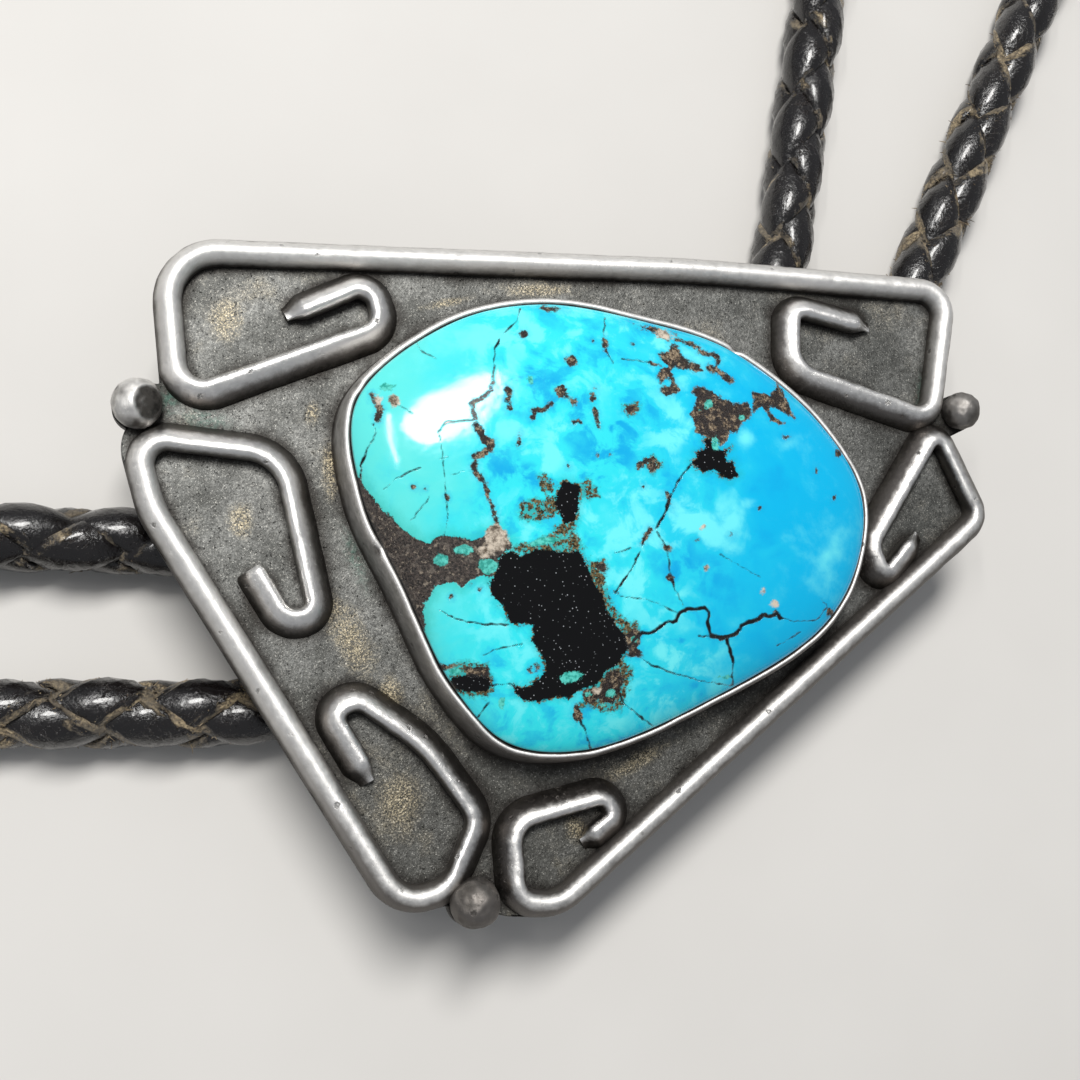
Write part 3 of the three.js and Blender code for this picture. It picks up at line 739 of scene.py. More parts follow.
wire_recipe = wire_tree()
print("the wires' tree has", len(wire_recipe.nodes), "nodes")

# %% [markdown]
# The rim is nearly upright and the curls lean, so the tilt changes over a short way where a
# wire leaves the rim. The seed differs from wire to wire, and with it the dents.

# %% Bend the three wires
silver, silver_nodes, silver_shader, silver_place = new_finish("oxidised silver")
WIRE_STEP = 0.22 * MM
INSIDE = {"wire_top": -1, "wire_left": 1, "wire_lower": 1}
CURL_LEAN = 0.36
RIM_LEAN = 0.10
LEAN_CHANGE = 5 * MM


def wire_leans(name, flat_line, way):
    """How far the crest leans over at each point: little on the rim, more in the curls."""
    _, first, last = next(row for row in RIM if row[0] == name)
    ends = []
    for x, y, bend in (WIRES[name][first], WIRES[name][last]):
        ends.append(way[np.argmin(np.hypot(*(flat_line - on_slide(x, y)).T))])
    before, after = min(ends), max(ends)
    off_rim = np.maximum(before - way, way - after)
    share = 1 - smooth_fall(off_rim, -LEAN_CHANGE / 2, LEAN_CHANGE / 2)
    return INSIDE[name] * (RIM_LEAN + (CURL_LEAN - RIM_LEAN) * share)


wires = []
for seed, (name, rows) in enumerate(WIRES.items(), start=3):
    flat_line, way = spaced(rounded(slide_corners(rows), False), WIRE_STEP)
    widths = np.ones(len(way))
    for end, distance in zip(WIRE_ENDS[name], (way, way[-1] - way)):
        narrow, reach = end
        widths *= 1 - (1 - narrow) * smooth_fall(distance, 0, reach)
    points = np.column_stack([flat_line, np.full(len(way), plate_top)])
    line = drawn_line(name + "_line", points, widths, wire_leans(name, flat_line, way))
    wires.append(grow(name, line, wire_recipe, {"Finish": silver, "Seed": seed}))
    bpy.data.objects.remove(line)

# %% [markdown]
# The plate is sawn to the wires' outer line, and keeps a round-ended land under each ball. Its
# top needs many small faces, because the finish is told at each of them how near the next wire
# is: the plate is painted darkest in those corners, for tarnish and for painted shade. A
# triangulation joins the outlines and fills them with a grid of points in one step. Only edges that
# turn by more than SHARP_EDGE, in radians, are then softened.

# %% Saw out the base plate
BALL_DIAMETER = 3.8 * MM
BALLS = [
    (-0.502, 0.214, 0.97, "wire_top", 3), (0.468, 0.280, 0.84, "wire_top", 7),
    (-0.138, -0.472, 1.0, "wire_lower", 3),
]
LAND_STEPS = 24
PLATE_GRID = 0.4 * MM
PLATE_EDGE = 0.14 * MM
SHARP_EDGE = 1.2


def rim_line():
    corners = []
    for wire, first, last in RIM:
        step = 1 if last > first else -1
        corners += [WIRES[wire][i] for i in range(first, last + step, step)]
    line = rounded(slide_corners(corners), True)
    return line + leftward(line, True) * WIRE_WIDTH / 2


def land_outline(row):
    """A bar with round ends from a ball to the corner of a wire."""
    x, y, size, wire, corner = row
    here = on_slide(x, y)
    root = on_slide(*WIRES[wire][corner][:2])
    heading = math.atan2(*(root - here)[::-1])
    radius = size * BALL_DIAMETER / 2
    outline = []
    for centre, start in ((here, heading + math.pi / 2), (root, heading - math.pi / 2)):
        for k in range(LAND_STEPS + 1):
            angle = start + math.pi * k / LAND_STEPS
            outline.append(centre + radius * np.array([math.cos(angle), math.sin(angle)]))
    return outline


print("the plate's outline has", len(rim_line()), "points, each land", len(land_outline(BALLS[0])))

# %% [markdown]
# The grid of points stands in rows like a honeycomb. The face that the triangulation makes
# outside the outlines has no origin and is left out, and the rest is given its thickness.

# %% Fill the plate's outlines
def base_plate():
    points = []
    outlines = []
    for outline in [list(rim_line())[::-1]] + [land_outline(row) for row in BALLS]:
        outlines.append(list(range(len(points), len(points) + len(outline))))
        points += [Vector(p) for p in outline]
    low = np.min([tuple(p) for p in points], axis=0)
    high = np.max([tuple(p) for p in points], axis=0)
    row_gap = PLATE_GRID * 0.866
    for j, y in enumerate(np.arange(low[1], high[1], row_gap)):
        for x in np.arange(low[0] + (j % 2) * PLATE_GRID / 2, high[0], PLATE_GRID):
            points.append(Vector((x, y)))
    flat, _, faces, _, _, origins = delaunay_2d_cdt(points, [], outlines, 0, 1e-6)
    shape = bmesh.new()
    corners = [shape.verts.new((p.x, p.y, plate_top)) for p in flat]
    for face, origin in zip(faces, origins):
        if origin:
            shape.faces.new([corners[i] for i in face])
    for corner in [v for v in shape.verts if not v.link_faces]:
        shape.verts.remove(corner)
    down = bmesh.ops.extrude_face_region(shape, geom=shape.faces[:])
    for item in down["geom"]:
        if isinstance(item, bmesh.types.BMVert):
            item.co.z -= PLATE_THICKNESS
    bmesh.ops.recalc_face_normals(shape, faces=shape.faces[:])
    rim = [e for e in shape.edges if len(e.link_faces) == 2 and e.calc_face_angle() > SHARP_EDGE]
    bmesh.ops.bevel(shape, geom=rim, offset=PLATE_EDGE, segments=2, profile=0.5, affect="EDGES")
    mesh = bpy.data.meshes.new("base_plate")
    shape.to_mesh(mesh)
    shape.free()
    return put_in_scene("base_plate", mesh)


plate = base_plate()
print("base_plate", len(plate.data.polygons), "faces")

# %% [markdown]
# The balls are scraps of silver melted on charcoal, so they are a little flat and none is quite
# round. A sphere of small faces is pushed about by a noise, and one side is pressed in where a
# tool has touched it. Each ball has its own flat, with its own depth and the way that it faces.

# %% Melt the balls
BALL_SEAT = 0.5
BALL_FLATS = [0.9, 0.35, 0.2]
BALL_DIMPLES = [(0.60, -0.05, 0.80), (0.45, -0.3, 0.8), (-0.4, 0.4, 0.8)]
FLAT_RIM = 0.70


def store(mesh, name, values):
    """Keeps one number for each point of a mesh, for its finish to read."""
    layer = mesh.attributes.new(name, "FLOAT", "POINT")
    layer.data.foreach_set("value", np.asarray(values, dtype=np.float32))


def new_piece(name, shape):
    """A smooth piece from a bmesh."""
    mesh = bpy.data.meshes.new(name)
    shape.to_mesh(mesh)
    shape.free()
    mesh.shade_smooth()
    return put_in_scene(name, mesh)


def silver_ball(number, row):
    x, y, size = row[:3]
    radius = size * BALL_DIAMETER / 2
    centre = Vector((*on_slide(x, y), plate_top + BALL_SEAT * radius))
    dimple = Vector(BALL_DIMPLES[number]).normalized()
    shape = bmesh.new()
    bmesh.ops.create_icosphere(shape, subdivisions=5, radius=1)
    heights = []
    for vert in shape.verts:
        way = vert.co.copy()
        lump = noise.noise(way * 1.3 + Vector((number * 7.0, 0, 0))) * 0.06
        lump += noise.noise(way * 4.0 + Vector((0, number * 5.0, 0))) * 0.028
        pressed = max(0.0, way.dot(dimple) - FLAT_RIM) * BALL_FLATS[number]
        vert.co = centre + (way * (1 + lump) - dimple * pressed) * radius
        heights.append(0.34 + 0.3 * way.z - min(pressed * 3, 0.4) + lump * 5)
    piece = new_piece(f"silver_ball_{number + 1}", shape)
    store(piece.data, "ridge", np.clip(heights, 0, 1))
    return piece


balls = [silver_ball(number, row) for number, row in enumerate(BALLS)]
print([ball.name for ball in balls], len(balls[0].data.polygons), "faces each")

# %% [markdown]
# ## The stone's outline
# The stone is freeform. Its outline is a smooth closed line through fifteen points, and both the
# bezel and the stone are built on it.

# %% Draw the stone's outline
STONE_LENGTH = 41.6 * MM
STONE_WIDTH = 34.5 * MM
STONE_CENTRE = (0.013, 0.058)
STONE_OUTLINE = [
    (0.492, 0.109), (0.402, 0.275), (0.225, 0.426), (0.073, 0.474), (-0.151, 0.500),
    (-0.325, 0.438), (-0.490, 0.255), (-0.480, 0.058), (-0.396, -0.154), (-0.313, -0.350),
    (-0.213, -0.472), (-0.067, -0.488), (0.179, -0.374), (0.406, -0.208), (0.483, -0.054),
]
OUTLINE_STEP = 0.25 * MM
stone_middle = on_slide(*STONE_CENTRE)


def closed_curve(points, steps):
    """A smooth closed line through the points that doesn't swing out at close ones."""
    line = []
    count = len(points)
    for i in range(count):
        a, b, c, d = (points[(i + k) % count] for k in (-1, 0, 1, 2))
        gaps = [math.sqrt(np.hypot(*(q - p))) for p, q in ((a, b), (b, c), (c, d))]
        leave = (b - a) / gaps[0] - (c - a) / (gaps[0] + gaps[1]) + (c - b) / gaps[1]
        reach = (c - b) / gaps[1] - (d - b) / (gaps[1] + gaps[2]) + (d - c) / gaps[2]
        leave, reach = leave * gaps[1], reach * gaps[1]
        for t in np.arange(steps) / steps:
            line.append((2 * t**3 - 3 * t**2 + 1) * b + (t**3 - 2 * t**2 + t) * leave
                        + (3 * t**2 - 2 * t**3) * c + (t**3 - t**2) * reach)
    return np.array(line)


def stone_outline():
    points = [stone_middle + (x * STONE_LENGTH, y * STONE_WIDTH) for x, y in STONE_OUTLINE]
    fine = closed_curve(points, 60)
    return spaced(np.vstack([fine, fine[:1]]), OUTLINE_STEP)[0][:-1]


outline = stone_outline()
inward = leftward(outline, True)
print("stone outline", len(outline), "points, from", len(STONE_OUTLINE))

# %% [markdown]
# A bezel is a thin strip of silver, soldered upright on the plate and then rubbed down over the
# stone's edge, so it leans in, and its lip is never quite even. Its section is drawn once, and
# each point of it is carried round the outline with a small wander. Where the strip was cut and
# where the burnisher slipped, the lip has a notch. A row of the section is a point's way inward
# and its height in mm, and how rubbed the silver is there, which the finish reads as ridge.

# %% Rub down the bezel
BEZEL_SECTION = [
    (-1.00, -0.15, 0.05), (-0.98, 0.18, 0.10), (-0.88, 0.42, 0.26), (-0.84, 1.2, 0.36),
    (-0.78, 2.0, 0.40), (-0.70, 2.8, 0.42), (-0.62, 3.35, 0.44), (-0.53, 3.60, 0.46),
    (-0.43, 3.73, 0.70), (-0.32, 3.79, 1.05), (-0.22, 3.79, 1.00), (-0.10, 3.68, 0.40),
    (-0.03, 3.48, 0.10), (-0.10, 3.2, 0.00), (-0.25, 2.2, 0.00), (-0.60, -0.15, 0.00),
]
LIP_CREST = -0.27 * MM
NOTCHES = [(365, 391), (383, 548), (735, 352)]
NOTCH_REACH = 0.45 * MM


def ring_skin(name, rings):
    """A smooth closed loop of rings with equally many points."""
    size = len(rings[0])
    shape = bmesh.new()
    verts = [[shape.verts.new(p) for p in ring] for ring in rings]
    for here, there in zip(verts, verts[1:] + verts[:1]):
        for j in range(size):
            k = (j + 1) % size
            shape.faces.new((here[j], here[k], there[k], there[j]))
    bmesh.ops.recalc_face_normals(shape, faces=shape.faces[:])
    return new_piece(name, shape)


def photo_point_on_lip(u, v):
    """Where a pixel of the 1080 pixel wide photograph meets the level of the bezel's lip."""
    turn = camera.rotation_euler.to_matrix()
    middle = PHOTO_WIDTH / 2
    ray = turn @ Vector(((u - middle) / PHOTO_FOCAL, (middle - v) / PHOTO_FOCAL, -1))
    return camera.location + ray * (lip_level - camera.location.z) / ray.z


def bezel():
    notches = [np.array(photo_point_on_lip(u, v)[:2]) for u, v in NOTCHES]
    rings = []
    polish = []
    for point, way in zip(outline, inward):
        sway = noise.noise(Vector((point[0], point[1], 0)) / (4.5 * MM))
        fine = noise.noise(Vector((point[0], point[1], 3 * MM)) / (1.4 * MM))
        near = min(np.hypot(*(point + way * LIP_CREST - notch)) for notch in notches)
        dip = math.exp(-((near / NOTCH_REACH) ** 2))
        ring = []
        for side, up, shine in BEZEL_SECTION:
            loose = max(0.0, up) * MM / BEZEL_HEIGHT
            torn = dip * loose**6
            shift = side + (0.10 * sway + 0.03 * fine) * loose + 0.18 * torn
            x, y = point + way * shift * MM
            level = up + (0.06 * sway + 0.03 * fine) * loose**2 - 0.20 * torn
            ring.append((x, y, plate_top + level * MM))
            polish.append(shine - 0.4 * torn)
        rings.append(ring)
    piece = ring_skin("bezel", rings)
    store(piece.data, "ridge", polish)
    return piece


bezel_strip = bezel()
print("bezel", len(bezel_strip.data.polygons), "faces,", len(NOTCHES), "notches")

# %% [markdown]
# The plate's finish needs to know the nearest solder line, so the plate is told now how far
# each of its points lies from the wires, the balls and the bezel's foot; near them it is painted
# dark, for tarnish and for painted shade. The wires' filed ends are left out, because they stand
# too low to hold tarnish and cast shade round them.

# %% Tell the plate where its corners are
FILED_POINTS = 5
BLOCK = 4000


def plate_places():
    places = np.empty(len(plate.data.vertices) * 3)
    plate.data.vertices.foreach_get("co", places)
    return places.reshape(-1, 3)


def tell_plate():
    places = plate_places()
    count = len(places)
    marks = []
    for rows in WIRES.values():
        line = spaced(rounded(slide_corners(rows), False), 0.3 * MM)[0]
        marks.append((line[FILED_POINTS:-FILED_POINTS], WIRE_WIDTH / 2))
    marks.append((outline + inward * BEZEL_SECTION[0][0] * MM, 0.0))
    marks += [(np.array([on_slide(x, y)]), size * BALL_DIAMETER / 2) for x, y, size, *_ in BALLS]
    nearest = np.full(count, 1.0)
    for line, reach in marks:
        for start in range(0, count, BLOCK):
            block = places[start:start + BLOCK, None, :2] - line[None]
            away = np.sqrt((block**2).sum(axis=2)).min(axis=1) - reach
            nearest[start:start + BLOCK] = np.minimum(nearest[start:start + BLOCK], away)
    store(plate.data, "from_solder", np.maximum(nearest, 0) / MM)
    store(plate.data, "is_plate", np.ones(count))
    print("told", count, "points of the plate, up to", round(float(nearest.max()) / MM, 1), "mm out")


tell_plate()

# %% [markdown]
# Oxidised silver is bright only where cloth and wear reach it. Everything else keeps a skin of
# sulphide, grey and mottled on open ground, with traces of gold and green that are charted further
# down; in the corners it is painted nearly black, for tarnish and for painted shade. So one finish
# has three steps: the colours of the plate, those of the wires' sides, with painted shade low on
# them, and the bare metal over both where a point is rubbed.

# %% Name the silver's colours
# Tarnish colours, also painted as shade near the wires, the balls and the bezel's foot.
TARNISH_AND_SHADE_BLACK = paint(0.012, 0.011, 0.010)
TARNISH_AND_SHADE_BROWN = paint(0.062, 0.058, 0.053)
GROUND_DEEP = paint(0.115, 0.117, 0.110)
GROUND_PALE = paint(0.27, 0.272, 0.260)
GROUND_GRIME = paint(0.06, 0.06, 0.056)
# A darker ground, painted shade towards the bottom of the slide.
GROUND_PAINTED_SHADE = paint(0.06, 0.058, 0.05)
GROUND_SPECKS = paint(0.03, 0.03, 0.028)
GOLD_DEEP = paint(0.07, 0.058, 0.034)
GOLD_BRIGHT = paint(0.60, 0.51, 0.34)
COPPER_SALT = paint(0.05, 0.13, 0.10)
# Bright flecks of silver, painted as glints on the plate.
GLINT_FLECKS = paint(0.72, 0.70, 0.64)
PIT_BLACK = paint(0.008, 0.008, 0.007)
BARE_SOFT = paint(0.84, 0.825, 0.80)
BARE_BRIGHT = paint(0.96, 0.945, 0.92)
# Worn wire colours: a shaded and a lit tone on the rim and in the curls, for the painted light from the
# upper left.
WORN_SHADED = paint(0.20, 0.185, 0.172)
WORN_LIT = paint(0.80, 0.785, 0.76)
WORN_CURL_SHADED = paint(0.15, 0.138, 0.128)
WORN_CURL_LIT = paint(0.30, 0.28, 0.262)
# The wires' sides: tarnish, painted darker as shade where they turn from the light.
SIDE_TARNISH_SHADE_DEEP = paint(0.075, 0.068, 0.061)
SIDE_TARNISH_SHADE_PALE = paint(0.17, 0.157, 0.143)
print("silver goes from", TARNISH_AND_SHADE_BLACK[:3], "to", BARE_BRIGHT[:3])

# %% [markdown]
# The silver is painted brighter towards the upper left, as painted light from the window there,
# and its open ground darker towards the bottom, as painted shade. curl says where a wire leans
# over. Marks made by tools are of three sizes: pits in the plate, nicks in the wires, and scratches.

# %% Finish the silver
def finish_silver():
    n, shader, place = silver_nodes, silver_shader, silver_place
    ridge = attribute(n, "ridge")
    flat = attribute(n, "is_plate")
    away = attribute(n, "from_solder")
    broad = n.noise(place, 0.16, 4.0, 0.6)
    patch = n.noise(n.vector("ADD", place, (31.0, 7.0, 0.0)), 0.24, 5.0, 0.65)
    fine = n.noise(place, 2.2, 6.0, 0.7)
    speck = n.noise(place, 9.0, 3.0, 0.7)
    wear = n.math("MULTIPLY_ADD", n.math("SUBTRACT", n.noise(place, 1.1, 5.0, 0.65), 0.5), 0.3, ridge)
    at = n.split(place)
    # Painted light: brighter towards the upper left, where the window's light falls.
    lit_upper_left = n.span(n.math("MULTIPLY_ADD", at[1], 0.7, n.math("MULTIPLY", at[0], -0.5)), -12.0, 10.0)
    # The painted light also lets the bare metal spread further at the upper left.
    polished = n.span(n.math("MULTIPLY_ADD", lit_upper_left, 0.16, wear), 0.72, 1.04)
    # Near a solder line the plate keeps the tarnish dark, which is tarnish and painted shade together.
    stepped = n.math("MULTIPLY_ADD", n.math("SUBTRACT", patch, 0.5), 1.8, away)
    open_ground = n.math("MULTIPLY", n.span(stepped, -0.2, 1.0), flat)
    # Painted shade: darker towards the bottom of the slide.
    shade_towards_bottom = n.span(at[1], -4.0, -16.0)
    mottled = n.math("ADD", patch, n.math("MULTIPLY", n.math("SUBTRACT", speck, 0.5), 0.5))
    rubbed = n.math("MULTIPLY", open_ground, n.span(mottled, 0.40, 0.66))
    # The dark of tarnish, also painted shade in the corners and at the wires' feet, and the colour of
    # nicks.
    dark = n.mix(fine, TARNISH_AND_SHADE_BLACK, TARNISH_AND_SHADE_BROWN)
    ground = n.mix(n.span(patch, 0.3, 0.7), GROUND_DEEP, GROUND_PALE)
    ground = n.mix(n.math("MULTIPLY", n.span(fine, 0.62, 0.36), 0.55), ground, GROUND_GRIME)
    # The painted shade darkens the open ground towards the bottom.
    ground = n.mix(n.math("MULTIPLY", shade_towards_bottom, 0.5), ground, GROUND_PAINTED_SHADE)
    ground = n.mix(n.math("MULTIPLY", n.span(speck, 0.55, 0.38), 0.4), ground, GROUND_SPECKS)
    gold = n.mix(n.span(speck, 0.4, 0.66), GOLD_DEEP, GOLD_BRIGHT)
    bare = n.mix(fine, BARE_SOFT, BARE_BRIGHT)
    curl = n.span(attribute(n, "lean"), 0.12, 0.34)
    # The worn colour runs from its shaded tone to its lit tone with the painted light.
    worn = n.mix(lit_upper_left, WORN_SHADED, WORN_LIT)
    worn = n.mix(curl, worn, n.mix(lit_upper_left, WORN_CURL_SHADED, WORN_CURL_LIT))
    # The wires' sides are tarnish painted darker, as shade.
    sides_tarnish_and_shade = n.mix(fine, SIDE_TARNISH_SHADE_DEEP, SIDE_TARNISH_SHADE_PALE)
    # Painted shade: the low half of each wire's side goes to the dark where it meets the plate.
    sides_tarnish_and_shade = n.mix(n.span(wear, 0.1, -0.1), sides_tarnish_and_shade, dark)
    sides_tarnish_and_shade = n.mix(n.span(wear, 0.16, 0.66), sides_tarnish_and_shade, worn)
    body = n.mix(flat, sides_tarnish_and_shade, dark)
    body = n.mix(open_ground, body, ground)
    charted = n.math("MULTIPLY_ADD", n.math("SUBTRACT", n.noise(place, 0.9, 5.0, 0.7), 0.5), 0.9,
                     attribute(n, "gold"))
    golden = n.math("MULTIPLY", n.span(charted, 0.22, 1.05), n.span(speck, 0.36, 0.60))
    faint = n.math("MULTIPLY", rubbed, n.span(broad, 0.5, 0.66))
    body = n.mix(n.math("MULTIPLY", faint, 0.3), body, gold)
    body = n.mix(n.math("MULTIPLY", golden, 0.85), body, gold)
    green = n.math("MULTIPLY", attribute(n, "green"), n.span(fine, 0.4, 0.6))
    body = n.mix(n.math("MULTIPLY", green, 0.6), body, COPPER_SALT)
    # Painted glints: tiny bright flecks, most of them on open ground.
    glint_share = n.math("MULTIPLY_ADD", open_ground, 0.5, 0.10)
    glint_flecks = n.math("MULTIPLY", n.span(speck, 0.58, 0.70), glint_share)
    body = n.mix(n.math("MULTIPLY", glint_flecks, flat), body, GLINT_FLECKS)
    pits = n.span(n.noise(place, 5.0, 4.0, 0.75), 0.60, 0.70)
    body = n.mix(n.math("MULTIPLY", pits, n.math("MULTIPLY", flat, 0.7)), body, PIT_BLACK)
    colour = n.mix(polished, body, bare)
    dinged = n.math("MULTIPLY_ADD", n.math("SUBTRACT", fine, 0.5), 0.35, n.cells(place, 0.5, "F1"))
    nicks = n.math("MULTIPLY", n.span(dinged, 0.13, 0.04), n.math("SUBTRACT", 1.0, flat))
    colour = n.mix(n.math("MULTIPLY", nicks, 0.5), colour, dark)
    n.tree.links.new(colour, shader.inputs["Base Color"])
    shader.inputs["Metallic"].default_value = 1.0
    bend = n.vector("SCALE", n.noise(place, 0.2, output="Color"), scale=6.0)
    scratch_place = n.vector("MULTIPLY", n.vector("ADD", place, bend), (9.0, 0.8, 1.0))
    scratch = n.noise(scratch_place, 1.0, 3.0, 0.6)
    rough = n.math("SUBTRACT", n.span(fine, 0.3, 0.7, 0.52, 0.62), n.math("MULTIPLY", flat, 0.04))
    rough = n.math("MULTIPLY_ADD", curl, -0.18, rough)
    rough = n.math("MULTIPLY_ADD", n.math("SUBTRACT", scratch, 0.5), 0.2, rough, clamp=True)
    n.tree.links.new(rough, shader.inputs["Roughness"])
    height = n.math("ADD", n.math("MULTIPLY", fine, 0.6), n.math("MULTIPLY", speck, 0.35))
    height = n.math("SUBTRACT", height, n.math("MULTIPLY", pits, 0.5))
    height = n.math("MULTIPLY", height, n.math("MULTIPLY_ADD", flat, 0.6, 0.4))
    height = n.math("MULTIPLY_ADD", scratch, 0.2, n.math("SUBTRACT", height, nicks))
    bump(n, shader, height, 0.08 * MM, 0.9)


finish_silver()
for piece in [plate, bezel_strip, *balls]:
    piece.data.materials.clear()
    piece.data.materials.append(silver)
print("silver of", len(silver.node_tree.nodes), "nodes")

# %% [markdown]
# ## The turquoise
# The cabochon is cut to the outline and domed. Its points come from a square grid bent onto the
# outline, which keeps them evenly close, so that the matrix in it can be told point by point.
# The outline has corners, and a dome that kept them to the top would have creases, so a rounder
# outline takes over towards the middle: the same one without its quicker waves.

# %% Cut the stone
STONE_GRID = 296
STONE_INSET = -0.07 * MM
STONE_SINK = 0.12 * MM
DOME_SPREAD = 2.2
DOME_FULLNESS = 0.62
ROUNDING = 3.2
FOOT_SPREAD = 0.012
STONE_REACH = 17
ROUND_STEPS = 720


def reach_at(angles):
    """How far the stone reaches from its middle in each direction."""
    spokes = outline - stone_middle
    around = np.arctan2(spokes[:, 1], spokes[:, 0])
    order = np.argsort(around)
    radii = np.hypot(*spokes.T)[order] - STONE_INSET
    return np.interp(angles, around[order], radii, period=2 * math.pi)


def rounder_reach_at(angles):
    """The same with the outline's corners rounded off, for the middle of the dome."""
    even = np.linspace(0, 2 * math.pi, ROUND_STEPS, endpoint=False)
    waves = np.fft.rfft(reach_at(even))
    waves *= np.exp(-((np.arange(len(waves)) / ROUNDING) ** 4))
    return np.interp(angles, even, np.fft.irfft(waves, ROUND_STEPS), period=2 * math.pi)


for label, helper in (("outline", reach_at), ("rounder outline", rounder_reach_at)):
    print("the", label, "reaches", round(float(helper(0.0)) / MM, 2), "mm to the right")

# %% [markdown]
# A square bends onto a disc by taking its squares' rings to circles: reach is a point's ring,
# from 0 in the middle to 1 at the rim, and quarter how far round its side of the square it is.
# STONE_REACH turns what is left of reach into mm, for the dark line at the rim: grime, and painted shade
# under the bezel's lip.

# %% Bend a grid into the dome
def stone():
    steps = np.linspace(-1, 1, STONE_GRID + 1)
    across, up = np.meshgrid(steps, steps)
    reach = np.maximum(np.abs(across), np.abs(up))
    safe = np.where(reach > 0, reach, 1)
    flat_first = np.abs(across) >= np.abs(up)
    quarter = np.where(flat_first, up, across) / safe * math.pi / 4
    upright = np.where(up < 0, -math.pi / 2, math.pi / 2)
    start = np.where(flat_first, np.where(across < 0, math.pi, 0), upright)
    turn = np.where(flat_first, np.where(across < 0, -1, 1), np.where(up < 0, 1, -1))
    angle = start + turn * quarter
    radius = reach * reach_at(angle)
    rise = dome_top - lip_level + STONE_SINK
    rim_share = reach * reach * (3 - 2 * reach)
    border = rounder_reach_at(angle) * (1 - rim_share) + reach_at(angle) * rim_share
    inner = np.clip(radius / border, 0, 1)
    level = lip_level - STONE_SINK + rise * (1 - inner**DOME_SPREAD) ** DOME_FULLNESS
    points = np.stack([stone_middle[0] + radius * np.cos(angle),
                       stone_middle[1] + radius * np.sin(angle), level], axis=2).reshape(-1, 3)
    size = STONE_GRID + 1
    corner = np.arange(size * size).reshape(size, size)
    faces = np.stack([corner[:-1, :-1], corner[:-1, 1:], corner[1:, 1:], corner[1:, :-1]], axis=2)
    edge = np.concatenate([corner[0, :-1], corner[:-1, -1], corner[-1, :0:-1], corner[:0:-1, 0]])
    foot = points[edge].copy()
    foot[:, :2] += (foot[:, :2] - stone_middle) * FOOT_SPREAD
    foot[:, 2] = plate_top + 0.2 * MM
    below = np.arange(len(edge)) + len(points)
    walls = np.stack([edge, below, np.roll(below, -1), np.roll(edge, -1)], axis=1)
    mesh = bpy.data.meshes.new("turquoise_cabochon")
    everything = np.vstack([points, foot])
    skin = faces.reshape(-1, 4).tolist() + walls.tolist() + [below[::-1].tolist()]
    mesh.from_pydata(everything.tolist(), [], skin)
    mesh.shade_smooth()
    from_rim = (1 - reach.reshape(-1)) * STONE_REACH
    store(mesh, "rim", np.append(from_rim, np.zeros(len(foot))))
    return put_in_scene("turquoise_cabochon", mesh), everything


cabochon, stone_points = stone()
print("turquoise_cabochon", len(stone_points), "points")

# %% [markdown]
# Turquoise is known by its matrix: the rock it grew in, left in it as patches, veins and cracks.
# Here the places come from the photograph, read as pixels, since the camera above sees
# the stone as the photograph does. Each point of the stone is told how many millimetres it lies
# inside or outside each kind of matrix, and the finish later makes those borders ragged.

# %% Chart the black patches and the host rock, in pixels of the 1080 pixel wide photograph
BLACK_PATCHES = [
    [(499, 556), (507, 552), (522, 556), (536, 549), (556, 552), (580, 552), (587, 567), (592, 579),
     (602, 594), (607, 608), (613, 620), (626, 638), (629, 648), (624, 655), (617, 666), (606, 671),
     (598, 684), (582, 689), (568, 698), (556, 696), (539, 701), (526, 701), (516, 694), (514, 686),
     (521, 688), (533, 684), (543, 676), (546, 664), (539, 652), (533, 640), (533, 625), (512, 623),
     (504, 608), (492, 595), (490, 583), (494, 577)],
    [(563, 481), (572, 482), (580, 487), (578, 503), (576, 520), (565, 524), (558, 511), (555, 503),
     (557, 494)],
    [(450, 679), (464, 676), (479, 675), (489, 678), (491, 686), (485, 691), (469, 692), (456, 689)],
    [(697, 452), (706, 448), (704, 441), (711, 436), (713, 448), (722, 452), (731, 448), (724, 455),
     (726, 461), (733, 461), (735, 471), (738, 475), (731, 479), (722, 475), (713, 471), (704, 471),
     (697, 468), (692, 463), (695, 459)],
]
HOST_ROCK = [
    [(345, 468), (362, 482), (377, 504), (390, 516), (404, 530), (418, 540), (429, 543), (433, 539),
     (445, 535), (460, 538), (470, 541), (483, 536), (497, 528), (513, 545), (500, 557), (492, 577),
     (483, 575), (470, 581), (463, 586), (453, 583), (443, 583), (435, 586), (431, 596), (424, 603),
     (424, 640), (395, 620), (360, 560)],
]
print(len(BLACK_PATCHES), "black patches", len(HOST_ROCK), "of host rock")

# %% [markdown]
# Beside the black there are brown patches of iron-stained rock, and olive ones, where blue and
# brown are mingled. They are charted in the same way.

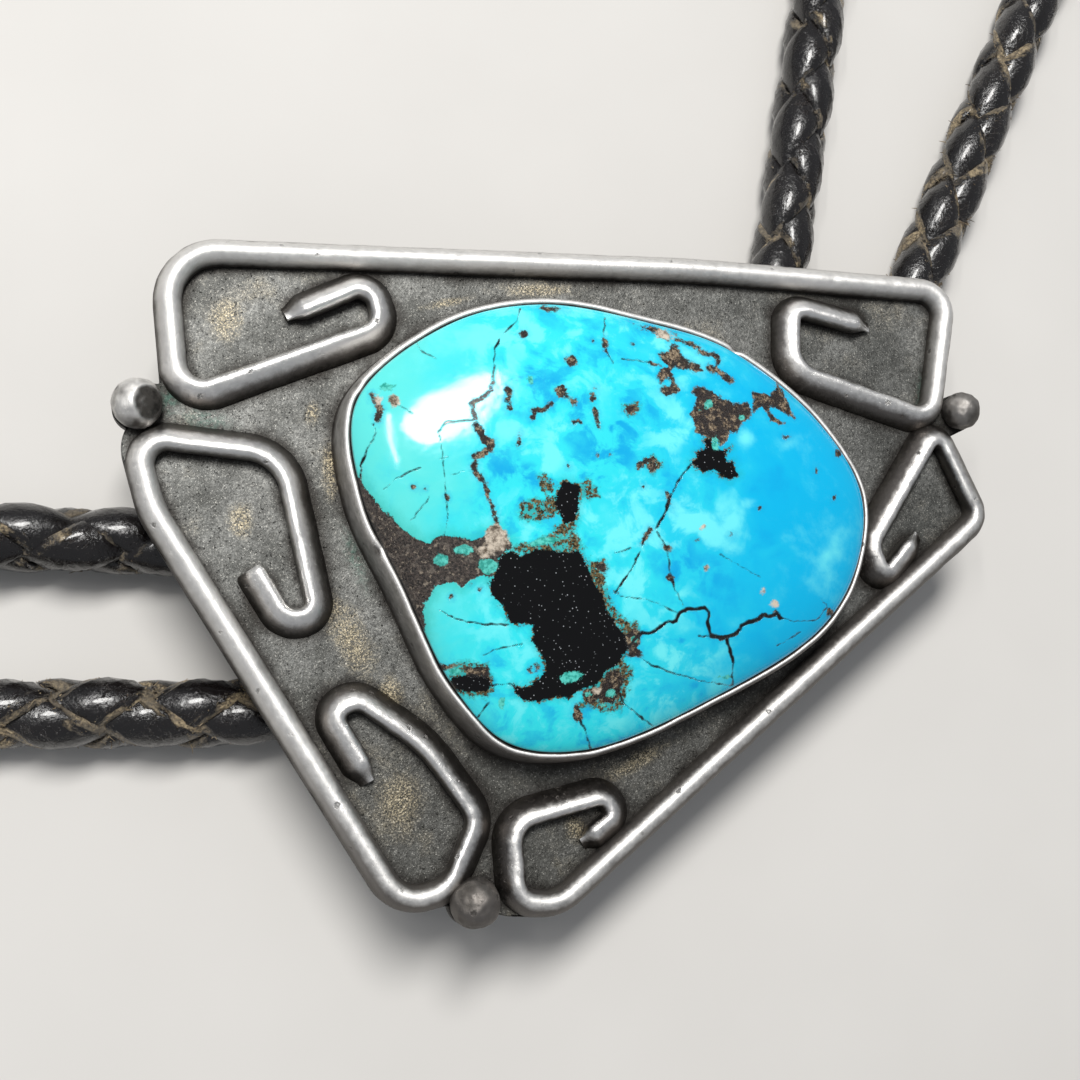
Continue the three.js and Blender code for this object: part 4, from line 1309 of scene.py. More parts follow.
# %% Chart the brown and the olive patches
BROWN_PATCHES = [
    [(669, 345), (677, 345), (681, 355), (690, 362), (699, 366), (704, 371), (695, 372), (686, 368),
     (676, 367), (670, 371), (674, 380), (681, 389), (677, 393), (667, 396), (660, 391), (661, 387),
     (670, 387), (672, 382), (669, 375), (661, 384), (656, 375), (661, 371), (667, 366), (661, 359),
     (660, 354), (669, 352)],
    [(694, 387), (704, 387), (713, 393), (724, 400), (736, 404), (747, 403), (752, 409), (751, 418),
     (742, 423), (738, 432), (729, 432), (727, 441), (720, 445), (713, 439), (704, 436), (697, 432),
     (695, 423), (690, 414), (695, 405), (697, 398), (693, 393)],
    [(752, 393), (761, 392), (769, 396), (776, 389), (777, 384), (781, 389), (786, 400), (792, 411),
     (794, 418), (783, 412), (770, 405), (769, 411), (776, 418), (785, 423), (781, 425), (772, 421),
     (767, 412), (761, 407), (754, 412), (752, 407), (754, 402)],
    [(604, 336), (608, 345), (607, 353), (601, 345)],
    [(463, 667), (489, 667), (489, 677), (470, 677)],
    [(581, 689), (597, 690), (607, 672), (617, 668), (624, 676), (620, 690), (612, 706), (598, 700),
     (588, 706)],
    [(624, 637), (634, 628), (641, 636), (638, 648), (643, 656), (630, 658)],
]
OLIVE_PATCHES = [
    [(519, 519), (521, 505), (530, 499), (545, 500), (557, 494), (558, 511), (548, 518), (535, 521)],
    [(537, 475), (546, 476), (552, 484), (553, 493), (542, 490)],
    [(580, 486), (586, 480), (598, 487), (597, 496), (588, 499), (580, 499)],
    [(512, 547), (530, 543), (548, 536), (562, 522), (574, 522), (576, 538), (584, 549), (566, 555),
     (545, 552), (529, 559)],
    [(584, 555), (592, 562), (604, 560), (608, 566), (603, 573), (606, 590), (612, 605), (622, 618),
     (636, 622), (640, 634), (628, 642), (612, 622), (600, 596), (588, 572)],
    [(604, 668), (620, 660), (632, 668), (628, 690), (622, 710), (606, 712), (590, 706), (578, 712),
     (584, 690)],
    [(450, 666), (466, 662), (488, 664), (493, 690), (484, 697), (462, 694)],
    [(646, 460), (655, 456), (661, 464), (654, 474), (648, 470)],
    [(624, 405), (638, 402), (641, 410), (630, 415)],
]
print(len(BROWN_PATCHES), "brown patches", len(OLIVE_PATCHES), "olive ones")

# %% [markdown]
# A vein is a crack that rock has filled, so it is brown and wide. A crack is black and thin. Both
# are lines through a few points, and get their small kinks later. A row is the half width of the
# line, then its points.

# %% Chart the veins and the cracks
VEINS = [
    (1.9, [(676, 340), (688, 343), (697, 348), (704, 354), (713, 355)]),
    (2.0, [(713, 355), (719, 362), (715, 368)]),
    (2.9, [(708, 368), (719, 371), (726, 377), (731, 381)]),
    (1.6, [(493, 383), (491, 391), (478, 401), (473, 401), (474, 416), (477, 425)]),
    (3.2, [(477, 425), (485, 440), (494, 445), (485, 452), (475, 457)]),
    (2.0, [(475, 457), (474, 469), (480, 477), (485, 486), (487, 494)]),
    (1.6, [(487, 494), (492, 505), (495, 515), (498, 528)]),
    (2.2, [(533, 418), (534, 410), (543, 411), (551, 403)]),
    (2.4, [(508, 389), (509, 398), (509, 408)]),
    (2.2, [(561, 391), (567, 396), (573, 401)]),
    (1.9, [(595, 408), (598, 426)]),
    (2.4, [(653, 460), (646, 461), (639, 466)]),
    (0.9, [(649, 362), (661, 366)]),
    (2.2, [(440, 666), (452, 667)]),
    (3.0, [(576, 708), (579, 718)]),
    (2.2, [(650, 530), (647, 536), (643, 543)]),
    (1.6, [(711, 636), (722, 638), (736, 634)]),
    (1.2, [(756, 621), (763, 614), (770, 618), (776, 612)]),
    (3.0, [(372, 396), (380, 408), (377, 420)]),
]
CRACKS = [
    (0.8, [(520, 309), (516, 322), (502, 335), (495, 347), (494, 365), (492, 383)]),
    (0.6, [(439, 435), (443, 455), (446, 498), (448, 520), (444, 536)]),
    (1.0, [(373, 424), (377, 433), (368, 447), (361, 465), (361, 479)]),
    (0.9, [(692, 464), (679, 479), (669, 500), (667, 509), (656, 529)]),
    (1.6, [(671, 495), (667, 507)]),
    (0.8, [(643, 543), (640, 552), (633, 566), (622, 582), (615, 593)]),
    (0.9, [(657, 532), (667, 547), (669, 559), (671, 575), (674, 587)]),
    (0.4, [(674, 587), (683, 605)]),
    (0.6, [(615, 553), (622, 552), (631, 548)]),
    (1.7, [(628, 648), (636, 638), (641, 633), (652, 633), (665, 623), (676, 621), (679, 612), (690, 609),
           (704, 608), (710, 614), (708, 621), (711, 636)]),
    (1.9, [(711, 636), (722, 638), (736, 634), (742, 625), (756, 621), (763, 614), (770, 618), (776, 612),
           (780, 618)]),
    (1.7, [(727, 639), (731, 652), (733, 662)]),
    (0.6, [(733, 662), (732, 671), (733, 686)]),
    (0.7, [(699, 636), (711, 637)]),
    (0.7, [(640, 657), (649, 664), (670, 672), (701, 681), (731, 686)]),
    (0.8, [(619, 691), (624, 704), (635, 712), (652, 726)]),
    (0.9, [(579, 718), (584, 728), (591, 749)]),
    (0.8, [(439, 610), (453, 618), (467, 622), (490, 625), (508, 625)]),
    (0.5, [(484, 655), (497, 649), (522, 644)]),
    (0.5, [(780, 618), (795, 622), (817, 620), (827, 607), (820, 596)]),
    (0.6, [(417, 343), (420, 350), (437, 359)]),
    (0.45, [(383, 490), (399, 477), (420, 468)]),
    (0.45, [(410, 522), (429, 497)]),
    (0.6, [(605, 318), (604, 336)]),
    (0.6, [(607, 352), (613, 363)]),
    (0.5, [(622, 359), (640, 361), (650, 362)]),
    (0.8, [(492, 686), (503, 684), (511, 684), (518, 690)]),
    (0.8, [(477, 718), (489, 703)]),
    (0.45, [(720, 554), (733, 562), (760, 577)]),
    (0.45, [(620, 596), (649, 600), (676, 612)]),
    (0.4, [(801, 632), (777, 646)]),
    (0.5, [(393, 403), (413, 413)]),
    (0.6, [(438, 432), (446, 422), (463, 421), (473, 420)]),
    (0.5, [(438, 459), (448, 457)]),
    (0.4, [(450, 475), (462, 471), (471, 472)]),
]
print(len(VEINS), "veins", len(CRACKS), "cracks")

# %% [markdown]
# Small inclusions are ovals: brown grains, pale grains of unstained rock, and islands of teal
# where the blue goes green. A row is x, y, half length, half width, and the turn in degrees.

# %% Chart the spots
BROWN_SPOTS = [
    (524, 334, 4, 4, 40), (571, 361, 5.5, 4.5, 20), (561, 390, 5.5, 6, 0), (573, 402, 3.5, 3, 0),
    (577, 421, 3.4, 2, 0), (592, 397, 2.6, 3.4, 0), (632, 409, 6, 3.4, -20), (652, 467, 4.6, 5, 30),
    (786, 438, 2.4, 1.8, 0), (838, 454, 3, 3, 0), (830, 612, 3, 3, 0), (549, 309, 8, 2.4, 3),
    (519, 443, 2, 5, 10), (667, 548, 4, 2.6, 30), (670, 577, 3, 3.4, 0), (669, 500, 2, 5, -20),
    (578, 716, 4.4, 6, 0), (602, 567, 5, 5, 0), (655, 330, 14, 2.4, 12), (447, 498, 1.8, 1.8, 0),
    (472, 584, 1.8, 1.4, 0), (480, 590, 1.4, 1.2, 0), (451, 596, 1.4, 1.4, 0), (697, 540, 1.4, 1.2, 0),
    (731, 534, 1.2, 1, 0), (568, 466, 1.2, 1.2, 0), (598, 455, 1.2, 1.2, 0), (593, 341, 1, 1, 0),
    (633, 344, 1, 1, 0), (610, 455, 1, 1, 0), (760, 508, 1.2, 1, 0), (644, 486, 1, 1, 0),
    (816, 472, 1.2, 2, 0), (835, 498, 1.4, 1.6, 0), (615, 592, 2, 1.2, 20), (424, 489, 1.2, 1, 0),
    (413, 487, 1.4, 1.4, 0), (595, 388, 1.4, 1.4, 0),
]
RING_SPOT = (533.5, 669, 4.2, 3.2, -30)
PALE_SPOTS = [
    (378, 399, 4.5, 6.5, 0), (394, 401, 6, 6, 0), (665, 335, 9, 5, 25), (497, 538, 14, 12, 60),
    (486, 552, 8, 6, 0), (598, 691, 4, 3, 0), (775, 603, 4, 4, 0), (764, 591, 2.6, 2.6, 0),
    (472, 688, 5, 2, 5), (706, 569, 2, 2.6, 0), (703, 527, 2.4, 1.6, -30),
]
TEAL_SPOTS = [
    (571, 677, 12, 6, -10), (463, 550, 10, 6, 0), (441, 560, 8, 7, 0), (488, 566, 11, 8, 0),
    (611, 693, 5, 5, 0), (388, 387, 10, 4, 0), (545, 541, 18, 4, -12), (455, 671, 8, 4, 0),
    (715, 443, 4, 7, 0), (708, 404, 4.4, 4.8, 0), (742, 418, 2.8, 2.8, 0), (700, 411, 2, 2, 0),
    (531, 380, 4, 5, 0), (502, 703, 4, 6, 0), (724, 677, 7, 3, 0), (634, 640, 3, 4, 0),
    (588, 694, 3, 2, 0), (604, 705, 3, 2, 0),
]
print(len(BROWN_SPOTS), "brown spots", len(PALE_SPOTS), "pale ones", len(TEAL_SPOTS), "teal ones")

# %% [markdown]
# The blue itself has clouds. A row is an oval as before, and last how much deeper the blue is
# there, or paler where the number is negative.

# %% Chart the clouds
CLOUDS = [
    (483, 336, 52, 22, -15, -0.30), (556, 339, 32, 14, 0, -0.36), (600, 458, 22, 32, 0, 0.32),
    (527, 484, 24, 18, 0, 0.28), (575, 407, 40, 24, 20, 0.24), (556, 452, 26, 15, 0, -0.32),
    (532, 378, 12, 12, 0, 0.2), (505, 425, 18, 18, 0, -0.24), (643, 345, 24, 14, 0, -0.36),
    (676, 418, 14, 17, 0, -0.42), (655, 440, 18, 14, 0, -0.2), (751, 429, 11, 10, 0, -0.36),
    (792, 450, 11, 9, 0, -0.3), (618, 430, 16, 20, 0, 0.2), (650, 480, 20, 18, 0, -0.3),
    (712, 492, 56, 12, 0, 0.16), (620, 330, 14, 12, 0, -0.2), (718, 524, 58, 22, 0, -0.46),
    (612, 520, 26, 32, 0, -0.42), (644, 586, 22, 22, 0, -0.28), (683, 661, 26, 24, 0, -0.26),
    (676, 694, 18, 14, 0, -0.2), (697, 572, 34, 26, 0, 0.2), (690, 634, 16, 14, 0, 0.3),
    (762, 532, 16, 20, 0, 0.3), (768, 560, 26, 12, 0, 0.15), (831, 566, 16, 30, 0, -0.3),
    (690, 450, 14, 14, 0, 0.22), (700, 690, 14, 8, 0, 0.25), (480, 620, 44, 30, 0, -0.1),
    (690, 375, 22, 14, 0, -0.1), (765, 470, 20, 12, 0, 0.16), (742, 600, 18, 14, 0, 0.12),
]
print(len(CLOUDS), "clouds")

# %% [markdown]
# To use the charts, each point of the stone is first seen through the camera, which gives its
# place in pixels. From there the way to a line, a patch or an oval is plain geometry. Cracks get
# small kinks from a noise, which is seeded so that every run draws the same ones.

# %% Helpers that measure from a place to a charted shape
KINK_SEED = 5


def seen_pixels(points):
    """Where the camera sees each point, in pixels of the 1080 pixel wide photograph."""
    turn = np.array(camera.rotation_euler.to_matrix())
    local = (points - np.array(camera.location)) @ turn
    middle = PHOTO_WIDTH / 2
    return np.stack([middle + PHOTO_FOCAL * local[:, 0] / -local[:, 2],
                     middle - PHOTO_FOCAL * local[:, 1] / -local[:, 2]], axis=1)


noise.seed_set(KINK_SEED)


def jagged(line, step=3.5, sway=1.5):
    """The same line with small kinks, as a crack has."""
    fine, _ = spaced(np.array(line, dtype=float), step)
    for point in fine[1:-1]:
        kink = noise.noise_vector(Vector((point[0] / 3, point[1] / 3, 5)))
        point += (kink.x * sway, kink.y * sway)
    return fine


def from_line(places, line):
    """Distance of each place to a line through the points."""
    nearest = np.full(len(places), 1e3)
    for a, b in zip(np.array(line[:-1], dtype=float), np.array(line[1:], dtype=float)):
        along = np.clip((places - a) @ (b - a) / max((b - a) @ (b - a), 1e-9), 0, 1)
        away = places - a - along[:, None] * (b - a)
        nearest = np.minimum(nearest, np.hypot(*away.T))
    return nearest


def from_patch(places, corners):
    """The same for a closed outline, negative inside it."""
    away = from_line(places, corners + corners[:1])
    inside = np.zeros(len(places), dtype=bool)
    for (ax, ay), (bx, by) in zip(corners, corners[1:] + corners[:1]):
        if ay == by:
            continue
        crosses = (places[:, 1] < ay) != (places[:, 1] < by)
        inside ^= crosses & (places[:, 0] < ax + (places[:, 1] - ay) * (bx - ax) / (by - ay))
    return np.where(inside, -away, away)


def from_spot(places, spot):
    x, y, long_way, short_way, turn = spot
    c, s = math.cos(math.radians(turn)), math.sin(math.radians(turn))
    dx, dy = places[:, 0] - x, places[:, 1] - y
    share = np.hypot((c * dx + s * dy) / long_way, (c * dy - s * dx) / short_way)
    return (share - 1) * min(long_way, short_way)


def from_nearest(measure, places, shapes):
    """The way to the nearest of several shapes of one kind."""
    return np.min([measure(places, shape) for shape in shapes], axis=0)


def from_strip(places, row):
    """Distance to a jagged line, less its half width, so negative inside it."""
    half_width, line = row
    return from_line(places, jagged(line)) - half_width


print("the stone's middle is seen at", seen_pixels(np.array([[*stone_middle, dome_top]]))[0].round())

# %% [markdown]
# The stone keeps one number for each kind of matrix: the way in mm to the nearest shape of that
# kind, negative inside it. PIXEL is how many mm a pixel of the photograph spans on the stone.
# It also keeps how deep the clouds make the blue, with their ovals swayed so that no cloud looks
# drawn, and how far to the right each point lies.

# %% Tell the stone its matrix
PIXEL = 0.0755
RING_HALF_WIDTH = 0.9
STONE_LEFT_EDGE = 351
STONE_SPAN = 513


def tell_stone():
    places = seen_pixels(stone_points)
    ring = np.abs(from_spot(places, RING_SPOT)) - RING_HALF_WIDTH
    browns = [from_nearest(from_patch, places, BROWN_PATCHES),
              from_nearest(from_spot, places, BROWN_SPOTS), ring,
              from_nearest(from_strip, places, VEINS)]
    told = {
        "black": from_nearest(from_patch, places, BLACK_PATCHES),
        "host": from_nearest(from_patch, places, HOST_ROCK),
        "brown": np.min(browns, axis=0),
        "olive": from_nearest(from_patch, places, OLIVE_PATCHES),
        "crack": from_nearest(from_strip, places, CRACKS),
        "pale": from_nearest(from_spot, places, PALE_SPOTS),
        "teal": from_nearest(from_spot, places, TEAL_SPOTS),
    }
    for name, values in told.items():
        store(cabochon.data, name, np.clip(values * PIXEL, -3, 6))
        print(name, "covers", round(100 * float((values < 0).mean()), 1), "percent of the points")
    depth = np.zeros(len(places))
    x, y = places.T
    sway = np.stack([8 * np.sin(y / 13 + x / 31) + 4 * np.sin(y / 5.3 - x / 9),
                     8 * np.sin(x / 12 - y / 27 + 2) + 4 * np.sin(x / 5.7 + y / 8 + 1)], axis=1)
    for *spot, deeper in CLOUDS:
        share = from_spot(places + sway, spot) / min(spot[2:4]) + 1
        depth = depth + deeper * np.exp(-share**2)
    store(cabochon.data, "depth", depth)
    store(cabochon.data, "rightward", (places[:, 0] - STONE_LEFT_EDGE) / STONE_SPAN)


tell_stone()

# %% [markdown]
# The plate is told in the same way where its tarnish has a gold tint and where a trace of green
# copper salt sits.

# %% Chart the tints of the plate
GOLD_SPOTS = [
    (240, 520, 15, 20, 0), (352, 640, 20, 48, -25), (392, 690, 12, 18, -30), (312, 414, 8, 14, 10),
    (446, 303, 30, 5, -12), (540, 290, 40, 8, 0), (330, 470, 10, 30, 0), (225, 320, 20, 24, 0),
    (400, 800, 26, 30, 0), (575, 830, 12, 14, 0), (640, 760, 40, 10, -30),
]
GREEN_SPOTS = [
    (205, 420, 22, 8, 10), (925, 395, 8, 20, 0), (355, 560, 6, 26, -20), (170, 400, 8, 12, 0),
]


def tell_tints():
    places = seen_pixels(plate_places())
    for name, rows in (("gold", GOLD_SPOTS), ("green", GREEN_SPOTS)):
        tint = np.zeros(len(places))
        for spot in rows:
            share = from_spot(places, spot) / min(spot[2:4]) + 1
            tint = np.maximum(tint, np.exp(-share**2))
        store(plate.data, name, tint)
        print(name, "tints", round(100 * float((tint > 0.5).mean()), 1), "percent of the plate's points")


tell_tints()

# %% [markdown]
# The ground colour drifts from a greenish turquoise at the left to a sky blue at the right, with
# paler and deeper clouds in it. Charted clouds alone would look drawn, so two noises move them,
# and a third one mottles the middle of the stone.

# %% Mix the blue of the stone
GREEN_LEFT = paint(0.11, 0.69, 0.66)
TURQUOISE_BLUE = paint(0.03, 0.68, 0.76)
SKY_BLUE = paint(0.0, 0.43, 0.74)
CLOUD_PALE = paint(0.17, 0.81, 0.85)
CLOUD_DEEP = paint(0.0, 0.32, 0.68)

turquoise, stone_nodes, stone_shader, stone_place = new_finish("turquoise")


def mix_blue(n, place):
    right = attribute(n, "rightward")
    cloud = n.math("SUBTRACT", n.noise(place, 0.26, 4.0, 0.55, 0.5), 0.5)
    small = n.math("SUBTRACT", n.noise(place, 1.2, 5.0, 0.62), 0.5)
    drift = n.math("MULTIPLY_ADD", cloud, 0.35, right)
    blue = n.mix(n.span(drift, 0.02, 0.34), GREEN_LEFT, TURQUOISE_BLUE)
    blue = n.mix(n.span(drift, 0.40, 0.90), blue, SKY_BLUE)
    depth = n.math("MULTIPLY_ADD", cloud, 0.55, attribute(n, "depth"))
    depth = n.math("MULTIPLY_ADD", small, 0.30, depth)
    middle = n.math("MULTIPLY", n.span(right, 0.16, 0.30), n.span(right, 0.82, 0.60))
    spread = n.noise(n.vector("ADD", place, (8.0, 44.0, 2.0)), 0.44, 5.0, 0.6, 0.4)
    mottle = n.span(spread, 0.40, 0.62, -0.42, 0.42)
    depth = n.math("MULTIPLY_ADD", mottle, n.math("MULTIPLY_ADD", middle, 0.58, 0.05), depth)
    paler = n.math("MULTIPLY", n.span(depth, 0.0, -0.5), 0.8)
    blue = n.mix(paler, blue, CLOUD_PALE)
    deeper = n.math("MULTIPLY", n.span(depth, 0.02, 0.5), 0.85)
    return n.mix(deeper, blue, CLOUD_DEEP)


blue = mix_blue(stone_nodes, stone_place)
print("blue of", len(turquoise.node_tree.nodes), "nodes")

# %% [markdown]
# Every kind of matrix starts from the way in mm that the stone was told. A wobble is added to it
# before it is cut off, so a border drawn with a dozen corners comes out ragged. grit, grains and
# crumbs are the grain inside the patches, from fine to coarse.

# %% Noises for the matrix, and a cut at a ragged border
def matrix_noises(n, place):
    ragged = n.math("SUBTRACT", n.noise(place, 1.5, 6.0, 0.68), 0.5)
    fuzz = n.math("SUBTRACT", n.noise(place, 4.2, 5.0, 0.75), 0.5)
    return {
        "wobble": n.math("ADD", ragged, n.math("MULTIPLY", fuzz, 0.55)),
        "grit": n.noise(place, 5.5, 5.0, 0.75),
        "grains": n.noise(n.vector("ADD", place, (17.0, 2.0, 5.0)), 3.2, 3.0, 0.6),
        "crumbs": n.noise(n.vector("ADD", place, (1.0, 9.0, 70.0)), 1.5, 6.0, 0.72),
    }


grain = matrix_noises(stone_nodes, stone_place)


def inside(name, reach, border=0.07, give=1.0):
    """1 inside a kind of matrix, 0 outside, with a border that the wobble moves by give mm."""
    away = stone_nodes.math("MULTIPLY_ADD", grain["wobble"], give, attribute(stone_nodes, name))
    return stone_nodes.span(away, reach + border, reach - border)


print("grain of the matrix:", ", ".join(grain))

# %% [markdown]
# The matrix goes on top of the blue, kind by kind, each staining the blue beside it first. Olive
# lies lowest, and then come brown, the host rock, the pale grains, black, the teal islands and,
# above everything, the cracks and a dark line at the bezel, grime with painted shade.

# %% Name the matrix's colours
BLUE_BY_BROWN = paint(0.0, 0.34, 0.62)
BLUE_BY_BLACK = paint(0.01, 0.36, 0.42)
BLUE_BY_ROCK = paint(0.03, 0.42, 0.36)
OLIVE_MURK = paint(0.01, 0.22, 0.22)
OLIVE_TEAL = paint(0.05, 0.42, 0.38)
OLIVE_DARK = paint(0.016, 0.013, 0.006)
OLIVE_TAN = paint(0.20, 0.15, 0.07)
SEAM_OLIVE = paint(0.10, 0.085, 0.045)
CHOCOLATE_DARK = paint(0.005, 0.004, 0.004)
CHOCOLATE = paint(0.034, 0.022, 0.017)
TAN_DARK = paint(0.06, 0.036, 0.020)
TAN_PALE = paint(0.44, 0.34, 0.22)
ROCK_DARK = paint(0.008, 0.007, 0.007)
ROCK_BROWN = paint(0.085, 0.066, 0.055)
ROCK_GRAINS = paint(0.30, 0.25, 0.19)
ROCK_CRUMBS = paint(0.17, 0.145, 0.12)
CREAM_DARK = paint(0.10, 0.075, 0.05)
CREAM = paint(0.62, 0.54, 0.44)
COAL = paint(0.0008, 0.0008, 0.0011)
# Pale dots in the black patches, painted as glints.
COAL_GLINTS = paint(0.34, 0.36, 0.38)
JADE_DARK = paint(0.02, 0.30, 0.25)
JADE = paint(0.10, 0.58, 0.50)
CRACK_BLACK = paint(0.005, 0.006, 0.007)
# Grime and painted shade where the stone runs under the bezel's lip.
GRIME_AND_SHADE_BLACK = paint(0.006, 0.007, 0.007)
print("the palest matrix is", CREAM[:3], "and the darkest", COAL[:3])

# %% Lay the matrix over the blue
def stain(n, colour):
    colour = n.mix(n.math("MULTIPLY", inside("brown", 0.24, 0.24), 0.3), colour, BLUE_BY_BROWN)
    colour = n.mix(n.math("MULTIPLY", inside("black", 0.3, 0.4), 0.5), colour, BLUE_BY_BLACK)
    return n.mix(n.math("MULTIPLY", inside("host", 0.5, 0.6), 0.5), colour, BLUE_BY_ROCK)


def lay_olive(n, place, colour):
    grit = grain["grit"]
    murky = n.math("MULTIPLY", inside("olive", 0.06, 0.25, 1.4), 0.75)
    colour = n.mix(murky, colour, n.mix(grit, OLIVE_MURK, OLIVE_TEAL))
    clots = n.span(n.noise(n.vector("ADD", place, (3.0, 60.0, 0.0)), 2.3, 5.0, 0.7), 0.45, 0.52)
    olive = n.mix(n.span(grit, 0.42, 0.62), OLIVE_DARK, OLIVE_TAN)
    colour = n.mix(n.math("MULTIPLY", inside("olive", 0.02, 0.1, 1.4), clots), colour, olive)
    return n.mix(n.math("MULTIPLY", inside("black", 0.14, 0.06, 0.9), clots), colour, olive)


def lay_brown_and_rock(n, colour):
    grit, crumbs = grain["grit"], grain["crumbs"]
    seam = n.math("MULTIPLY", inside("brown", 0.05, 0.04, 0.85), 0.5)
    colour = n.mix(seam, colour, SEAM_OLIVE)
    chocolate = n.mix(n.span(grit, 0.35, 0.7), CHOCOLATE_DARK, CHOCOLATE)
    tan = n.mix(n.span(grit, 0.42, 0.6), TAN_DARK, TAN_PALE)
    chocolate = n.mix(n.math("MULTIPLY", n.span(crumbs, 0.50, 0.57), 0.75), chocolate, tan)
    colour = n.mix(inside("brown", -0.01, 0.04, 0.85), colour, chocolate)
    rock = n.mix(n.span(grit, 0.38, 0.68), ROCK_DARK, ROCK_BROWN)
    rock = n.mix(n.math("MULTIPLY", n.span(grain["grains"], 0.58, 0.66), 0.7), rock, ROCK_GRAINS)
    rock = n.mix(n.math("MULTIPLY", n.span(crumbs, 0.52, 0.64), 0.6), rock, ROCK_CRUMBS)
    colour = n.mix(inside("host", 0.0, 0.04, 0.9), colour, rock)
    cream = n.mix(n.span(crumbs, 0.36, 0.60), CREAM_DARK, CREAM)
    return n.mix(inside("pale", 0.0, 0.12, 0.9), colour, cream)


def lay_black_and_teal(n, place, colour):
    # Painted glints: tiny pale dots scattered through the black patches.
    glint_dots = n.span(n.cells(place, 3.1, "F1"), 0.19, 0.07)
    glint_dots = n.math("MULTIPLY", glint_dots, n.span(n.noise(place, 2.3, 3.0), 0.36, 0.62))
    colour = n.mix(inside("black", 0.0, 0.05, 0.85), colour, n.mix(glint_dots, COAL, COAL_GLINTS))
    jade = n.mix(n.span(grain["grains"], 0.36, 0.62), JADE_DARK, JADE)
    return n.mix(inside("teal", -0.04, 0.05, 0.8), colour, jade)


def crack_way(n, place):
    """The way to the nearest crack, in mm, with the crack's width varied along it."""
    line = n.math("MULTIPLY_ADD", grain["wobble"], 0.20, attribute(n, "crack"))
    varied = n.math("SUBTRACT", n.noise(place, 1.0, 2.0), 0.52)
    return n.math("MULTIPLY_ADD", varied, 0.24, line)


def lay_matrix(n, place):
    colour = lay_olive(n, place, stain(n, blue))
    colour = lay_brown_and_rock(n, colour)
    colour = lay_black_and_teal(n, place, colour)
    line = crack_way(n, place)
    colour = n.mix(n.span(line, 0.05, -0.07), colour, CRACK_BLACK)
    # Grime and painted shade: a dark line where the stone runs under the bezel's lip.
    grime_and_shade = n.span(attribute(n, "rim"), 0.14, 0.03)
    return n.mix(grime_and_shade, colour, GRIME_AND_SHADE_BLACK), line


stone_colour, crack_line = lay_matrix(stone_nodes, stone_place)
print("with its matrix,", len(turquoise.node_tree.nodes), "nodes")

# %% [markdown]
# The blue takes a high polish, but brown rock is softer and stays a little rough and pitted, and
# cracks are fine grooves. A last slow noise keeps the reflections from being too perfect.

# %% Polish the stone
def polish_stone(n, shader, place):
    grit = grain["grit"]
    n.tree.links.new(stone_colour, shader.inputs["Base Color"])
    broken = n.math("MAXIMUM", inside("brown", 0.0, 0.08, 0.85), inside("host", 0.0, 0.08, 0.9))
    rough = n.math("MULTIPLY_ADD", broken, 0.25, n.span(grit, 0.3, 0.7, 0.09, 0.14), clamp=True)
    n.tree.links.new(rough, shader.inputs["Roughness"])
    shader.inputs["IOR"].default_value = 1.6
    shader.inputs["Specular IOR Level"].default_value = 0.24
    shader.inputs["Coat Weight"].default_value = 0.1
    shader.inputs["Coat Roughness"].default_value = 0.05
    pits = n.math("MULTIPLY", broken, n.math("SUBTRACT", grit, 0.75))
    pits = n.math("SUBTRACT", pits, n.math("MULTIPLY", n.span(crack_line, 0.05, -0.05), 0.5))
    pits = n.math("ADD", pits, n.math("MULTIPLY", n.noise(place, 0.5, 2.0), 0.3))
    bump(n, shader, pits, 0.16 * MM, 0.7)


polish_stone(stone_nodes, stone_shader, stone_place)
cabochon.data.materials.append(turquoise)
print("turquoise of", len(turquoise.node_tree.nodes), "nodes")

# %% [markdown]
# ## The clasp behind the slide
# Nothing of the clasp is seen from the front. It is a plain plated block with two bores, which
# grips the two cords and carries the slide. Its outline is drawn flat, with the bores as holes,
# pushed out to its length and softened at the edges.

# %% Make the clasp
CLASP_TURN = math.radians(27)
CLASP_LENGTH = 17 * MM
CLASP_HEIGHT = clasp_high.z - clasp_low.z
CHANNEL_SPACING = 11.2 * MM
BORE_RADIUS = 3.15 * MM
CLASP_EDGE = 0.3 * MM
ARC_STEPS = 33
BORE_STEPS = 49


def arc(centre, radius, first, last, steps):
    angles = np.linspace(first, last, steps)
    return [(centre[0] + radius * math.cos(a), centre[1] + radius * math.sin(a)) for a in angles]


